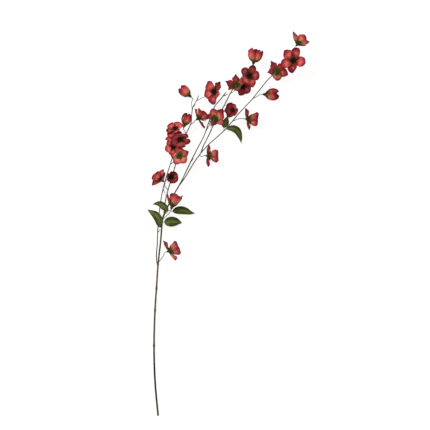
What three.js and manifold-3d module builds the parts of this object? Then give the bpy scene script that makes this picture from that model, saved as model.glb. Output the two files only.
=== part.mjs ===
// A single artificial cherry blossom branch, cut end to tip, lying on a flat surface.
// Millimetres, +Z up. +Y runs along the branch towards its tip, +X to the side it arches to.
// The origin is the middle of the branch's footprint on the surface it lies on.

import * as THREE from "three";
import { mergeVertices } from "three/addons/utils/BufferGeometryUtils.js";
import Module from "manifold-3d";

const wasm = await Module();
wasm.setup();

// Scale of the photograph, and the pixel that lies over the origin
const MM_PER_PIXEL = 2.5;
const ORIGIN_PIXEL = { x: 228, y: 224.4 };

// Stem sizes, as radii
const MAIN_RADIUS = 2.3;
const TRUNK_RADIUS = 1.9;
const BRANCH_RADIUS = 1.4;
const STALK_RADIUS = 0.85;
const MAIN_STEP = 34;
const BRANCH_STEP = 20;
const STALK_STEP = 12;

// A blossom, measured from its throat along its axis
const PETAL_COUNT = 5;
const PETAL_LENGTH = 27;
const PETAL_HALF_WIDTH = 12;
const PETAL_FULLNESS = { least: 0.4, growth: 0.6, bud: 0.64 };
const BUD_OPENING = 20;
const PETAL_THICKNESS = 0.7;
const PETAL_ROOT = { reach: 2.2, rise: 0.9 };
const PETAL_ROWS = [0, 0.3, 0.62, 0.87, 1];
const PETAL_COLUMNS = 2;
const HUB = { bottom: -0.5, top: 2.2 };
const CALYX = { length: 7.5, neck: 1.1, rim: 4.4, rimRise: -1.3, seat: 3.0 };
const SEPAL = { run: 0.27, clearance: 1.1 };
const STAMENS = { count: 6, length: 14, spread: 24, foot: 2.2, notch: 1.5, notchRise: 1.2, height: 2.6 };

// Leaves
const LEAF_THICKNESS = 0.7;
const LEAF_ROWS = 6;
const LEAF_COLUMNS = 4;
const PETIOLE_RADIUS = 0.9;

// Running space between pieces that are seated on each other
const GAP = 0.3;

const COLOURS = {
  bark: 0x4a4038,
  twig: 0x615a48,
  petal: 0xb5443c,
  stamen: 0x33261c,
  leaf: 0x3c4c1e,
};

// Routes of the stems: pixel across, pixel down, height above the surface in millimetres
const MAIN_ROUTE = [
  [157.9, 416.5, 2.1], [154.9, 383, 2.9], [153.8, 349.5, 4.5], [154.8, 310.7, 7.5],
  [156.4, 287, 10], [158, 264, 12.5], [160.6, 241, 15], [162.7, 218, 18], [164.5, 213, 18.6],
];
const TRUNK_ROUTE = [[163.2, 217, 18.2], [168, 206, 20], [173.3, 195.3, 22], [178.5, 186.6, 24]];
const STEM_KNOTS = [[153.8, 346], [154.8, 310.7], [156.3, 288.3]];
const LEFT_ROUTE = [
  [157.7, 267.5, 12], [156.3, 258, 11], [157.1, 244, 10], [157.7, 228, 9.5], [159.4, 210, 10],
  [162.2, 192, 12], [166.2, 177, 14], [169.3, 167, 16], [171.5, 160, 14], [172.8, 156, 11],
];
const MIDDLE_ROUTE = [
  [163.6, 215.8, 18.2], [165.4, 200.4, 15], [168.8, 187, 14], [173.9, 170, 15], [177, 160, 16],
  [181, 148, 17], [184.8, 136, 19], [187.5, 130.5, 20], [191, 123, 22], [191.7, 114.4, 24],
  [192.8, 107.5, 26], [197.4, 98.8, 28], [198.7, 94.8, 29],
];
const INNER_ROUTE = [
  [178.2, 187, 24], [182.2, 179.5, 23.5], [190.4, 162.3, 23], [196.8, 149.6, 22.5], [204.2, 135.3, 22],
  [208.5, 123, 22], [215, 106, 24], [221.4, 98.3, 27], [226.2, 91.9, 30],
];
const OUTER_ROUTE = [
  [179.2, 185.4, 24.2], [184.9, 177.6, 26], [194.2, 162.3, 29], [200.6, 153.4, 31], [208.2, 145, 32],
  [225.3, 129.5, 33], [239.3, 113, 35], [252.3, 99.1, 36], [262, 87, 37], [266.5, 81.3, 35],
  [272, 75.6, 19], [280, 69, 16], [287, 62, 22], [292, 55, 31], [294.4, 49.5, 37],
];
const CENTRE_ROUTE = [
  [200.9, 153, 31], [203.1, 146.4, 30], [207.9, 137, 28], [212.5, 127, 26], [218.5, 115, 24],
  [224, 106, 24], [227.2, 99.5, 24], [231, 92, 23], [238, 82, 22], [246, 72, 24], [251.5, 66.6, 32],
];

// Blossoms: throat as pixel across, pixel down and height; azimuth is the way it faces in plan,
// anticlockwise from +X, and tilt is how far it looks up. Each petal's opening is its angle from the
// blossom's axis, starting from the petal at the roll angle. bow bends a petal inwards when negative.
const OPEN = [76, 78, 74, 79, 75];
const BUD = [12, 14, 11, 13, 14];
const BUD_BOW = -108;
const BLOSSOMS = {
  main_stem: [
    { name: "lower_blossom_1", throat: [172, 207, 43], azimuth: 72, tilt: 0, roll: 18,
      open: [48, 38, 40, 42, 40], bow: -30, length: 33, from: [163.2, 219.6], via: [[167.8, 214.6, 27]],
      stamens: true },
    { name: "lower_blossom_2", throat: [169, 251, 27.4], azimuth: 20, tilt: -24, roll: 54,
      open: [46, 46, 70, 55, 96], bow: -22, length: 27, from: [158.4, 263], via: [[163, 256.4, 20]],
      stamens: true },
  ],
  left_branch: [
    { name: "left_blossom_1", throat: [173.6, 146.6, 13.4], azimuth: 190, tilt: 58, roll: -10,
      open: OPEN, bow: -16, length: 20, from: [172.8, 156], via: [[174.6, 151, 8]], stamens: true },
    { name: "left_blossom_2", throat: [179.5, 155.6, 62], azimuth: -40, tilt: -62, roll: -47,
      open: OPEN, bow: -16, length: 22, from: [170.6, 162.6], via: [[172.5, 159, 61]], stamens: false },
    { name: "left_blossom_3", throat: [162, 180, 16], azimuth: 135, tilt: 26, roll: 0,
      open: [72, 62, 60, 60, 56], bow: -20, length: 24, from: [163.4, 187], stamens: true },
  ],
  middle_branch: [
    { name: "middle_blossom_1", throat: [215, 92, 44], azimuth: 180, tilt: 50, roll: 0,
      open: [80, 66, 98, 78, 84], bow: -16, length: 29, from: [196.4, 100.6],
      via: [[204, 97, 24], [213, 95, 26]], stamens: true },
    { name: "middle_blossom_2", throat: [189.4, 95.2, 12], azimuth: 138, tilt: 10, roll: 20,
      open: BUD, bow: BUD_BOW, length: 33, from: [192, 110], via: [[191.6, 102.4, 20]], stamens: false },
    { name: "middle_blossom_3", throat: [198.2, 118.6, 38], azimuth: 35, tilt: -12, roll: 40,
      open: [62, 45, 100, 60, 75], bow: -18, length: 26, from: [190.6, 124.2], via: [[193.6, 122.6, 34]],
      stamens: true },
    { name: "middle_blossom_4", throat: [184.6, 125.2, 36], azimuth: 70, tilt: 12, roll: 30,
      open: [8, 10, 7, 9, 10], bow: BUD_BOW, length: 34, from: [186, 134], via: [[184, 130, 30]],
      stamens: false },
    { name: "middle_blossom_5", throat: [175.3, 129, 25], azimuth: 110, tilt: 42, roll: 18,
      open: OPEN, bow: -16, length: 20, from: [182.9, 141.8], via: [[178, 131.5, 18]], stamens: true },
    { name: "middle_blossom_6", throat: [175.5, 139.3, 38], azimuth: 100, tilt: 40, roll: 18,
      open: OPEN, bow: -16, length: 23, from: [181.6, 146], via: [[180.8, 144.2, 27]], stamens: true },
    { name: "middle_blossom_7", throat: [180.2, 138.8, 71], azimuth: -80, tilt: 42, roll: -20,
      open: OPEN, bow: -14, length: 25, from: [186.2, 133.4], via: [[187, 135.4, 50]], stamens: true },
    { name: "middle_blossom_8", throat: [171, 177.2, 34], azimuth: -10, tilt: 68, roll: 30,
      open: [50, 54, 48, 52, 50], bow: -36, length: 18, from: [168, 190], via: [[164.2, 184, 27]],
      stamens: true },
  ],
  outer_branch: [
    { name: "outer_blossom_1", throat: [297.4, 44.4, 42], azimuth: 50, tilt: -22, roll: 18,
      open: [62, 42, 46, 50, 52], bow: -44, length: 28, from: [294.4, 49.5], stamens: true },
    { name: "outer_blossom_2", throat: [293.6, 61, 60], azimuth: 170, tilt: 65, roll: 14,
      open: OPEN, bow: -14, length: 32, from: [288.5, 60], stamens: true },
    { name: "outer_blossom_3", throat: [276.3, 71.8, 42], azimuth: 50, tilt: -62, roll: 19,
      open: OPEN, bow: -14, from: [262.5, 86.4], via: [[269.5, 78.5, 47]], stamens: false },
    { name: "outer_blossom_4", throat: [265.4, 94.2, 12], azimuth: -3, tilt: 8, roll: 40,
      open: BUD, bow: BUD_BOW, length: 38, from: [252.3, 99.1], via: [[258, 95.8, 24]], stamens: false },
    { name: "outer_blossom_5", throat: [247.5, 119, 28], azimuth: -4, tilt: -24, roll: 54,
      open: [46, 46, 74, 60, 102], bow: -20, from: [232.3, 121.2], via: [[240, 118.6, 30]],
      stamens: true },
    { name: "outer_blossom_6", throat: [208, 155.7, 27], azimuth: 0, tilt: -24, roll: 54,
      open: [44, 44, 90, 70, 86], bow: -22, length: 26, from: [199.6, 154.8], via: [[201.2, 156.6, 28]],
      stamens: true },
  ],
  inner_branch: [
    { name: "inner_blossom_1", throat: [214.6, 119.4, 54], azimuth: 60, tilt: -56, roll: 50,
      open: OPEN, bow: -16, length: 24, from: [205.4, 132], via: [[209.6, 125.5, 54]], stamens: false },
    { name: "inner_blossom_2", throat: [220.8, 116, 41], azimuth: 95, tilt: -8, roll: 30,
      open: [16, 18, 17, 16, 18], bow: -90, length: 18, from: [213, 110.5], via: [[217.5, 120.5, 34]],
      stamens: false },
  ],
  centre_branch: [
    { name: "centre_blossom_1", throat: [253.6, 62.4, 38], azimuth: 78, tilt: 10, roll: 54,
      open: [30, 28, 31, 28, 29], bow: -95, length: 38, from: [251.5, 68], stamens: true },
    { name: "centre_blossom_2", throat: [248.5, 76.3, 66], azimuth: -5, tilt: 62, roll: -10,
      open: OPEN, bow: -16, from: [244.5, 74], stamens: true },
    { name: "centre_blossom_3", throat: [242.6, 86, 22], azimuth: -60, tilt: 52, roll: 3,
      open: [70, 76, 72, 66, 70], bow: -18, length: 22, from: [237, 83.4], stamens: true },
    { name: "centre_blossom_4", throat: [235.8, 86, 52], azimuth: 115, tilt: -50, roll: 45,
      open: [70, 66, 70, 66, 64], bow: -22, length: 25, from: [230.2, 93.4], via: [[234, 91.4, 50]],
      stamens: false },
    { name: "centre_blossom_5", throat: [233.2, 111, 54], azimuth: 160, tilt: 66, roll: 12,
      open: [52, 56, 48, 54, 50], bow: -34, length: 20, from: [220.5, 111.4], stamens: true },
  ],
};

// Leaves: midrib from the leaf's foot to its tip, half width in millimetres, and how far the blade
// turns about its midrib. foot is where the leaf stalk leaves its stem.
const LEAVES = [
  { name: "leaf_1", seats: ["main", "trunk"], foot: [164, 214.4], rib: [[167.5, 211.6, 25], [165, 207.6, 27],
    [160.6, 204, 24], [156, 203.6, 18], [152.2, 204.5, 11]], halfWidth: 9, turn: 12 },
  { name: "leaf_2", seats: ["main"], foot: [161.9, 226], rib: [[160.9, 225.2, 19.5], [159, 219.4, 22],
    [155.4, 215.2, 20], [151, 211.9, 12], [146.9, 209.4, 2]], halfWidth: 11, turn: -14 },
  { name: "leaf_3", seats: ["trunk"], foot: [166, 210], rib: [[172.4, 211.2, 19], [179, 210.4, 22],
    [184.6, 210.8, 20], [190, 212.6, 12], [195.2, 213.4, 2]], halfWidth: 10.5, turn: 8 },
  { name: "leaf_4", seats: ["main"], foot: [162.3, 222.4], rib: [[164.2, 222, 20], [169, 221.8, 22],
    [174.4, 221.6, 18], [178.6, 222.2, 10], [182.1, 223.2, 1.5]], halfWidth: 13, turn: 0 },
  { name: "leaf_5", seats: ["outer"], foot: [225.3, 129.5], rib: [[227, 129, 36], [231.6, 128.4, 38],
    [236.6, 130.4, 32], [240, 136.4, 18], [241.5, 143.5, 4]], halfWidth: 9.5, turn: 10 },
  { name: "leaf_6", seats: ["outer"], foot: [224, 130.7], rib: [[224, 128, 35], [224.6, 124.6, 35.5],
    [226, 121, 35.5], [227, 118, 34.5], [227.6, 115.4, 33]], halfWidth: 9.5, turn: -16 },
];

// A repeatable draw from 0 to 1
function seededDraw(seed) {
  const MULTIPLIER = 16807;
  const MODULUS = 2147483647;
  let state = seed;
  return () => {
    state = (state * MULTIPLIER) % MODULUS;
    return state / MODULUS;
  };
}

function radians(degrees) {
  return (degrees * Math.PI) / 180;
}

// Turns a pixel and a height into a point of the part
function place([across, down, height]) {
  const x = (across - ORIGIN_PIXEL.x) * MM_PER_PIXEL;
  const y = (ORIGIN_PIXEL.y - down) * MM_PER_PIXEL;
  return new THREE.Vector3(x, y, height);
}

// Makes a closed solid of a geometry: shared corners are merged, slivers of no area are dropped,
// and the faces are turned outwards
function solidOf(geometry) {
  const bare = geometry.clone();
  bare.deleteAttribute("normal");
  bare.deleteAttribute("uv");
  const merged = mergeVertices(bare, 1e-4);
  const points = merged.getAttribute("position").array;
  const corners = [];
  let volume = 0;
  const [a, b, c] = [new THREE.Vector3(), new THREE.Vector3(), new THREE.Vector3()];
  for (let i = 0; i < merged.index.count; i += 3) {
    const [p, q, r] = [0, 1, 2].map((corner) => merged.index.getX(i + corner));
    if (p !== q && q !== r && r !== p) {
      corners.push(p, q, r);
      a.fromArray(points, p * 3);
      b.fromArray(points, q * 3);
      c.fromArray(points, r * 3);
      volume += a.dot(b.cross(c));
    }
  }
  if (volume < 0) {
    corners.reverse();
  }
  const mesh = new wasm.Mesh({
    numProp: 3,
    vertProperties: Float32Array.from(points),
    triVerts: Uint32Array.from(corners),
  });
  return new wasm.Manifold(mesh);
}

function join(solids) {
  return solids.reduce((whole, piece) => whole.add(piece));
}

function curveAlong(points) {
  return new THREE.CatmullRomCurve3(points, false, "centripetal");
}

// A round stem along a curve
function stem(curve, radius, sides, step) {
  const section = new THREE.Shape();
  for (let side = 0; side < sides; side += 1) {
    const angle = (side / sides) * 2 * Math.PI;
    const corner = [radius * Math.cos(angle), radius * Math.sin(angle)];
    if (side === 0) {
      section.moveTo(...corner);
    } else {
      section.lineTo(...corner);
    }
  }
  section.closePath();
  const steps = Math.max(2, Math.round(curve.getLength() / step));
  const options = { steps, bevelEnabled: false, extrudePath: curve };
  return solidOf(new THREE.ExtrudeGeometry(section, options));
}

// The point of the nearest of some curves that lies under a pixel of the photograph
function nearestOn(curves, [across, down]) {
  const SAMPLES = 240;
  const wanted = place([across, down, 0]);
  const spots = curves.flatMap((curve) => curve.getSpacedPoints(SAMPLES));
  const away = (spot) => Math.hypot(spot.x - wanted.x, spot.y - wanted.y);
  return spots.reduce((best, spot) => (away(spot) < away(best) ? spot : best));
}

// A swelling, longer than it is wide, where a stem has a joint
function knot(point) {
  const ball = new THREE.SphereGeometry(1, 6, 3);
  ball.scale(MAIN_RADIUS * 1.3, MAIN_RADIUS * 1.8, MAIN_RADIUS * 1.3);
  ball.translate(point.x, point.y, point.z);
  return solidOf(ball);
}

function meshGeometry(points, corners) {
  const geometry = new THREE.BufferGeometry().setFromPoints(points);
  geometry.setIndex(corners);
  return geometry;
}

// The points and triangles of a thin blade, open at its root: pointAt gives a point for its run from
// root to tip, for across from -1 to 1, and for its face. Both faces are split into triangles alike.
function bladeOf(rows, columns, pointAt) {
  const points = [];
  for (const face of [-1, 1]) {
    for (const run of rows) {
      for (let column = 0; column <= columns; column += 1) {
        points.push(pointAt(run, (2 * column) / columns - 1, face));
      }
    }
  }
  const width = columns + 1;
  const sheet = rows.length * width;
  const walls = [];
  const quad = (p, q, r, s) => walls.push(p, q, r, p, r, s);
  for (let row = 0; row < rows.length - 1; row += 1) {
    for (let column = 0; column < columns; column += 1) {
      const at = row * width + column;
      quad(at, at + 1, at + width + 1, at + width);
      walls.push(sheet + at, sheet + at + width + 1, sheet + at + 1);
      walls.push(sheet + at, sheet + at + width, sheet + at + width + 1);
    }
    const left = row * width;
    const right = left + columns;
    quad(left, left + width, sheet + left + width, sheet + left);
    quad(right, sheet + right, sheet + right + width, right + width);
  }
  return { points, walls, sheet };
}

// A thin blade as a solid of its own
function blade(rows, columns, pointAt) {
  const { points, walls, sheet } = bladeOf(rows, columns, pointAt);
  for (let column = 0; column < columns; column += 1) {
    walls.push(column, sheet + column, sheet + column + 1, column, sheet + column + 1, column + 1);
  }
  return solidOf(meshGeometry(points, walls));
}

// A blossom's own directions: axis is the way it faces, side lies flat, front is square to both
function frameOf(blossom) {
  const turn = radians(blossom.azimuth);
  const lift = radians(blossom.tilt);
  const axis = new THREE.Vector3(
    Math.cos(turn) * Math.cos(lift),
    Math.sin(turn) * Math.cos(lift),
    Math.sin(lift),
  );
  const side = new THREE.Vector3(-Math.sin(turn), Math.cos(turn), 0);
  const front = axis.clone().cross(side);
  return { throat: place(blossom.throat), axis, side, front };
}

// A point of a blossom from its reach off the axis, its rise along the axis and its angle round it
function blossomPoint(frame, reach, rise, angle) {
  return frame.throat.clone()
    .addScaledVector(frame.axis, rise)
    .addScaledVector(frame.side, reach * Math.cos(angle))
    .addScaledVector(frame.front, reach * Math.sin(angle));
}

// Half a petal's width along its run: a narrow claw, widest past the middle, a rounded end
function petalWidth(run) {
  const WIDEST = 0.62;
  const CLAW = 0.08;
  if (run < WIDEST) {
    return CLAW + (1 - CLAW) * (run / WIDEST) ** 0.85;
  }
  return (1 - ((run - WIDEST) / (1 - WIDEST)) ** 2.4) ** 0.6;
}

// The five petals of a blossom, with a small repeatable difference from petal to petal. Short petals
// are wide for their length, and those of a bud are narrow. Where two neighbours overlap, the edge of
// the one that opens wider lies outside.
function petalsOf(blossom, seed) {
  const draw = seededDraw(seed);
  const length = blossom.length ?? PETAL_LENGTH;
  const fullness = PETAL_FULLNESS.least + (PETAL_FULLNESS.growth * length) / PETAL_LENGTH;
  const closed = blossom.open[0] < BUD_OPENING;
  const petals = Array.from({ length: PETAL_COUNT }, (_, index) => ({
    angle: radians(blossom.roll + (index * 360) / PETAL_COUNT + 6 * (draw() - 0.5)),
    open: radians(blossom.open[index]),
    bow: radians(blossom.bow + 6 * (draw() - 0.5)),
    length: length * (1 + 0.1 * (draw() - 0.5)),
    halfWidth: PETAL_HALF_WIDTH * fullness * (closed ? PETAL_FULLNESS.bud : 1 + 0.08 * (draw() - 0.5)),
    lap: closed || blossom.open[0] < 60 ? 1.8 : 1.2,
    phase: 2 * Math.PI * draw(),
  }));
  petals.forEach((petal, index) => {
    const next = petals[(index + 1) % PETAL_COUNT];
    const outside = petal.open >= next.open ? 1 : -1;
    petal.lapAfter = outside;
    next.lapBefore = -outside;
  });
  return petals;
}

// A point on a petal. The petal follows an arc from its claw, and across it follows the round of the
// blossom, as on a cone. off moves the point square to the petal, towards the blossom's inside.
function petalPoint(frame, petal, run, across, off) {
  const FLATTEST = 16;
  const start = petal.open - petal.bow / 2;
  const lean = start + petal.bow * run;
  const reach = PETAL_ROOT.reach + (petal.length * (Math.cos(start) - Math.cos(lean))) / petal.bow;
  const rise = PETAL_ROOT.rise + (petal.length * (Math.sin(lean) - Math.sin(start))) / petal.bow;
  const share = petalWidth(run);
  const cup = Math.min(FLATTEST, reach / Math.max(Math.cos(lean), 0.05));
  const curl = (across * petal.halfWidth * share) / cup;
  const openness = Math.min(1, petal.open / radians(OPEN[0]));
  const wave = 1.1 * openness ** 2 * share * across ** 2 * Math.sin(9 * run + 2 * across + petal.phase);
  const side = across > 0 ? petal.lapAfter : petal.lapBefore;
  const lap = petal.lap * side * Math.abs(across) * Math.min(1, run / 0.3, 3 * share);
  const lift = cup * (1 - Math.cos(curl)) + wave * run - lap;
  const inwards = lift + off * Math.cos(curl);
  const sideways = (cup - off) * Math.sin(curl);
  const point = blossomPoint(
    frame,
    reach - inwards * Math.cos(lean),
    rise + inwards * Math.sin(lean),
    petal.angle,
  );
  return point
    .addScaledVector(frame.side, -sideways * Math.sin(petal.angle))
    .addScaledVector(frame.front, sideways * Math.cos(petal.angle));
}

// The corolla is cut from one sheet: five petals round a small hub, with both faces split alike
function corolla(frame, petals) {
  const half = PETAL_THICKNESS / 2;
  const width = PETAL_COLUMNS + 1;
  const sheet = PETAL_ROWS.length * width;
  const points = [];
  const corners = [];
  petals.forEach((petal, index) => {
    const first = points.length;
    const bladed = bladeOf(PETAL_ROWS, PETAL_COLUMNS, (run, across, face) => (
      petalPoint(frame, petal, run, across, face * half)
    ));
    points.push(...bladed.points);
    corners.push(...bladed.walls.map((corner) => first + corner));
    const next = ((index + 1) % PETAL_COUNT) * 2 * sheet;
    const [under, over] = [first, first + sheet];
    const [hubUnder, hubOver] = [PETAL_COUNT * 2 * sheet, PETAL_COUNT * 2 * sheet + 1];
    for (let column = 0; column < PETAL_COLUMNS; column += 1) {
      corners.push(hubUnder, under + column + 1, under + column);
      corners.push(hubOver, over + column, over + column + 1);
    }
    const [edge, other] = [PETAL_COLUMNS, next];
    corners.push(hubUnder, other, under + edge);
    corners.push(hubOver, over + edge, other + sheet);
    corners.push(under + edge, other, other + sheet, under + edge, other + sheet, over + edge);
  });
  points.push(blossomPoint(frame, 0, HUB.bottom, 0), blossomPoint(frame, 0, HUB.top, 0));
  return solidOf(meshGeometry(points, corners));
}

// Turns a lathe shape into a blossom's own directions, and moves the points of one ring that lie on
// every second ray to where tipAt says
function crown(frame, profile, rays, ring, angleAt, tipAt) {
  const outline = profile.map(([reach, rise]) => new THREE.Vector2(reach, rise));
  const shape = new THREE.LatheGeometry(outline, rays);
  const spots = shape.getAttribute("position");
  for (let index = 0; index < spots.count; index += 1) {
    const ray = Math.floor(index / profile.length) % rays;
    const level = index % profile.length;
    const onTip = level === ring && ray % 2 === 0;
    const spot = onTip
      ? tipAt(ray / 2)
      : blossomPoint(frame, profile[level][0], profile[level][1], angleAt(ray));
    spots.setXYZ(index, spot.x, spot.y, spot.z);
  }
  return solidOf(shape);
}

// The green cup under a blossom, with one pointed sepal along the back of each petal
function calyx(frame, petals) {
  const seat = HUB.bottom - GAP;
  const profile = [
    [0, -CALYX.length], [CALYX.neck, -CALYX.length], [CALYX.rim, CALYX.rimRise],
    [CALYX.seat, seat], [0, seat],
  ];
  const angleAt = (ray) => {
    const before = petals[Math.floor(ray / 2)].angle;
    const after = petals[Math.ceil(ray / 2) % PETAL_COUNT].angle;
    return after < before ? (before + after) / 2 + Math.PI : (before + after) / 2;
  };
  const tipAt = (index) => petalPoint(frame, petals[index], SEPAL.run, 0, -SEPAL.clearance);
  return crown(frame, profile, 2 * PETAL_COUNT, 2, angleAt, tipAt);
}

// The dark boss in a blossom's throat with its ring of stamens
function stamens(frame, seed) {
  const draw = seededDraw(seed);
  const foot = HUB.top + GAP;
  const profile = [
    [0, foot], [STAMENS.foot, foot], [STAMENS.notch, foot + STAMENS.notchRise],
    [0, foot + STAMENS.height],
  ];
  const angleAt = (ray) => (Math.PI * ray) / STAMENS.count;
  const tips = Array.from({ length: STAMENS.count }, (_, index) => {
    const spread = radians(STAMENS.spread * (0.45 + 0.55 * draw()));
    const length = STAMENS.length * (0.85 + 0.3 * draw());
    return blossomPoint(frame, 1 + length * Math.sin(spread), foot + length, angleAt(2 * index));
  });
  return crown(frame, profile, 2 * STAMENS.count, 2, angleAt, (index) => tips[index]);
}

// A blossom's stalk, from the stem that carries it into the foot of its calyx
function stalk(blossom, frame, carriers) {
  const LEAD = 4;
  const foot = frame.throat.clone().addScaledVector(frame.axis, 1 - CALYX.length);
  const lead = frame.throat.clone().addScaledVector(frame.axis, -CALYX.length - LEAD);
  const middle = (blossom.via ?? []).map(place);
  const route = [nearestOn(carriers, blossom.from), ...middle, lead, foot];
  return stem(curveAlong(route), STALK_RADIUS, 5, STALK_STEP);
}

// A leaf blade along its midrib, folded a little along the rib, with its stalk
function leaf(shape, seed, carriers) {
  const draw = seededDraw(seed);
  const phase = 2 * Math.PI * draw();
  const rib = curveAlong(shape.rib.map(place));
  const rows = Array.from({ length: LEAF_ROWS + 1 }, (_, index) => index / LEAF_ROWS);
  const turn = radians(shape.turn);
  const upwards = new THREE.Vector3(0, 0, 1);
  const body = blade(rows, LEAF_COLUMNS, (run, across, face) => {
    const along = rib.getTangentAt(run);
    const flat = upwards.clone().cross(along).normalize().negate();
    const square = along.clone().cross(flat).negate();
    const sideways = flat.clone().multiplyScalar(Math.cos(turn)).addScaledVector(square, Math.sin(turn));
    const normal = along.clone().cross(sideways).negate();
    const half = Math.max(shape.halfWidth * leafWidth(run), 0);
    const fold = 0.3 * Math.abs(across) * half;
    const wave = 0.09 * half * across ** 2 * Math.sin(11 * run + 2 * across + phase);
    return rib.getPointAt(run)
      .addScaledVector(sideways, across * half)
      .addScaledVector(normal, fold + wave + (face * LEAF_THICKNESS) / 2);
  });
  const SUNK = 0.14;
  const route = [nearestOn(carriers, shape.foot), rib.getPointAt(0), rib.getPointAt(SUNK)];
  return join([body, stem(curveAlong(route), PETIOLE_RADIUS, 5, STALK_STEP)]);
}

// Half a leaf's width along its run: rounded near the stalk, drawn out to a long point
function leafWidth(run) {
  const FOOT = 0.12;
  return (FOOT * (1 - run) + Math.sin(Math.PI * run ** 0.72)) * (1 - 0.25 * run) * (run < 1 ? 1 : 0);
}

// Keeps only what lies above the surface, so that what rests on it has a small flat spot
function aboveSurface(solid) {
  if (solid.boundingBox().min[2] >= 0) {
    return solid;
  }
  const SLAB = 1200;
  const slab = new THREE.BoxGeometry(SLAB, SLAB, SLAB);
  slab.translate(0, 0, -SLAB / 2);
  return solid.subtract(solidOf(slab));
}

function meshOf(name, solid, colour, roughness) {
  const { vertProperties, triVerts } = aboveSurface(solid).getMesh();
  const geometry = new THREE.BufferGeometry();
  geometry.setAttribute("position", new THREE.BufferAttribute(vertProperties, 3));
  geometry.setIndex(new THREE.BufferAttribute(triVerts, 1));
  geometry.computeVertexNormals();
  const material = new THREE.MeshStandardMaterial({ color: colour, roughness, metalness: 0 });
  const mesh = new THREE.Mesh(geometry, material);
  mesh.name = name;
  return mesh;
}

// The stems: centrelines with their radius, and the stems that each one is seated on
const curves = Object.fromEntries(Object.entries({
  main: MAIN_ROUTE, trunk: TRUNK_ROUTE, left: LEFT_ROUTE, middle: MIDDLE_ROUTE,
  inner: INNER_ROUTE, outer: OUTER_ROUTE, centre: CENTRE_ROUTE,
}).map(([name, route]) => [name, curveAlong(route.map(place))]));

function tubeOf(name, extra) {
  if (name === "main") {
    return stem(curves.main, MAIN_RADIUS + extra, 8, MAIN_STEP);
  }
  if (name === "trunk") {
    return stem(curves.trunk, TRUNK_RADIUS + extra, 8, BRANCH_STEP);
  }
  return stem(curves[name], BRANCH_RADIUS + extra, 6, BRANCH_STEP);
}

const STEMS = [
  { name: "main_stem", tubes: ["main", "trunk"], seats: [] },
  { name: "left_branch", tubes: ["left"], seats: ["main"] },
  { name: "middle_branch", tubes: ["middle"], seats: ["main", "trunk"] },
  { name: "outer_branch", tubes: ["outer"], seats: ["trunk"] },
  { name: "inner_branch", tubes: ["inner"], seats: ["trunk", "outer"] },
  { name: "centre_branch", tubes: ["centre"], seats: ["outer"] },
];

function makeRoom(solid, seats) {
  return seats.reduce((piece, seat) => piece.subtract(tubeOf(seat, GAP)), solid);
}

const branch = new THREE.Group();
let seed = 11;
for (const { name, tubes, seats } of STEMS) {
  const carriers = tubes.map((tube) => curves[tube]);
  const pieces = tubes.map((tube) => tubeOf(tube, 0));
  if (name === "main_stem") {
    pieces.push(...STEM_KNOTS.map((point) => knot(nearestOn(carriers, point))));
  }
  for (const blossom of BLOSSOMS[name]) {
    seed += 1;
    const frame = frameOf(blossom);
    const petals = petalsOf(blossom, seed);
    pieces.push(stalk(blossom, frame, carriers), calyx(frame, petals));
    branch.add(meshOf(blossom.name, corolla(frame, petals), COLOURS.petal, 0.85));
    if (blossom.stamens) {
      branch.add(meshOf(`${blossom.name}_stamens`, stamens(frame, seed), COLOURS.stamen, 0.6));
    }
  }
  const colour = name === "main_stem" ? COLOURS.bark : COLOURS.twig;
  branch.add(meshOf(name, makeRoom(join(pieces), seats), colour, 0.7));
}

for (const shape of LEAVES) {
  seed += 1;
  const solid = leaf(shape, seed, shape.seats.map((seat) => curves[seat]));
  branch.add(meshOf(shape.name, makeRoom(solid, shape.seats), COLOURS.leaf, 0.5));
}

export default branch;
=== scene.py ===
# %% [markdown]
# # An artificial cherry blossom branch
#
# A long cut stem forks into thin arching branches with blossoms of dyed cloth, a few closed buds and six
# coated leaves. It lies on a pale surface and is seen from straight above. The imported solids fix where
# each piece is. This script gives each of them the shape, the thickness and the finish of the real one.

import math

import bmesh
import bpy
from mathutils import Matrix, Vector, noise
from mathutils.geometry import interpolate_bezier


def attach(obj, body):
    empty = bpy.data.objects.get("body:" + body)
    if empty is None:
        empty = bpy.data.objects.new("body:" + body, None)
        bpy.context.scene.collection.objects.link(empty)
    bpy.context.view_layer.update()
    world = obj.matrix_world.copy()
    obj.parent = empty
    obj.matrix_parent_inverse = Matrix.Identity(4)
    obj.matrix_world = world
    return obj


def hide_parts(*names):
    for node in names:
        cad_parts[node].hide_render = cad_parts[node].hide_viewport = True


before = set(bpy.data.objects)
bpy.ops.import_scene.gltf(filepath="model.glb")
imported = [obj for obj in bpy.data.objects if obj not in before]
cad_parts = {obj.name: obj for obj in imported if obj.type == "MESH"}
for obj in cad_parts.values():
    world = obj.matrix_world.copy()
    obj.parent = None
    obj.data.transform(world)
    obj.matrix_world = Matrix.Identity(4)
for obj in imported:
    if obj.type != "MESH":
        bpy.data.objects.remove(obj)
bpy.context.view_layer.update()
print("solids in the frame:", len(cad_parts))

# %% [markdown]
# ## One scale for everything
#
# The branch was laid out over the photograph, so a place on it is a pixel across, a pixel down and a
# height over the surface. One scale turns these into metres, which is what the frame is in. Sizes of
# single pieces are easier to read in millimetres, so those are kept in millimetres until the end.

# %% From pixels and millimetres to metres
MM = 0.001
MM_PER_PIXEL = 2.5
ORIGIN_PIXEL = (228, 224.4)


def place(across, down, height):
    """A point of the branch in metres, from a pixel and a height in millimetres"""
    x = (across - ORIGIN_PIXEL[0]) * MM_PER_PIXEL
    y = (ORIGIN_PIXEL[1] - down) * MM_PER_PIXEL
    return Vector((x, y, height)) * MM


print("the cut end lies at", [round(value, 3) for value in place(157.9, 416.5, 2.1)])

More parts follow.
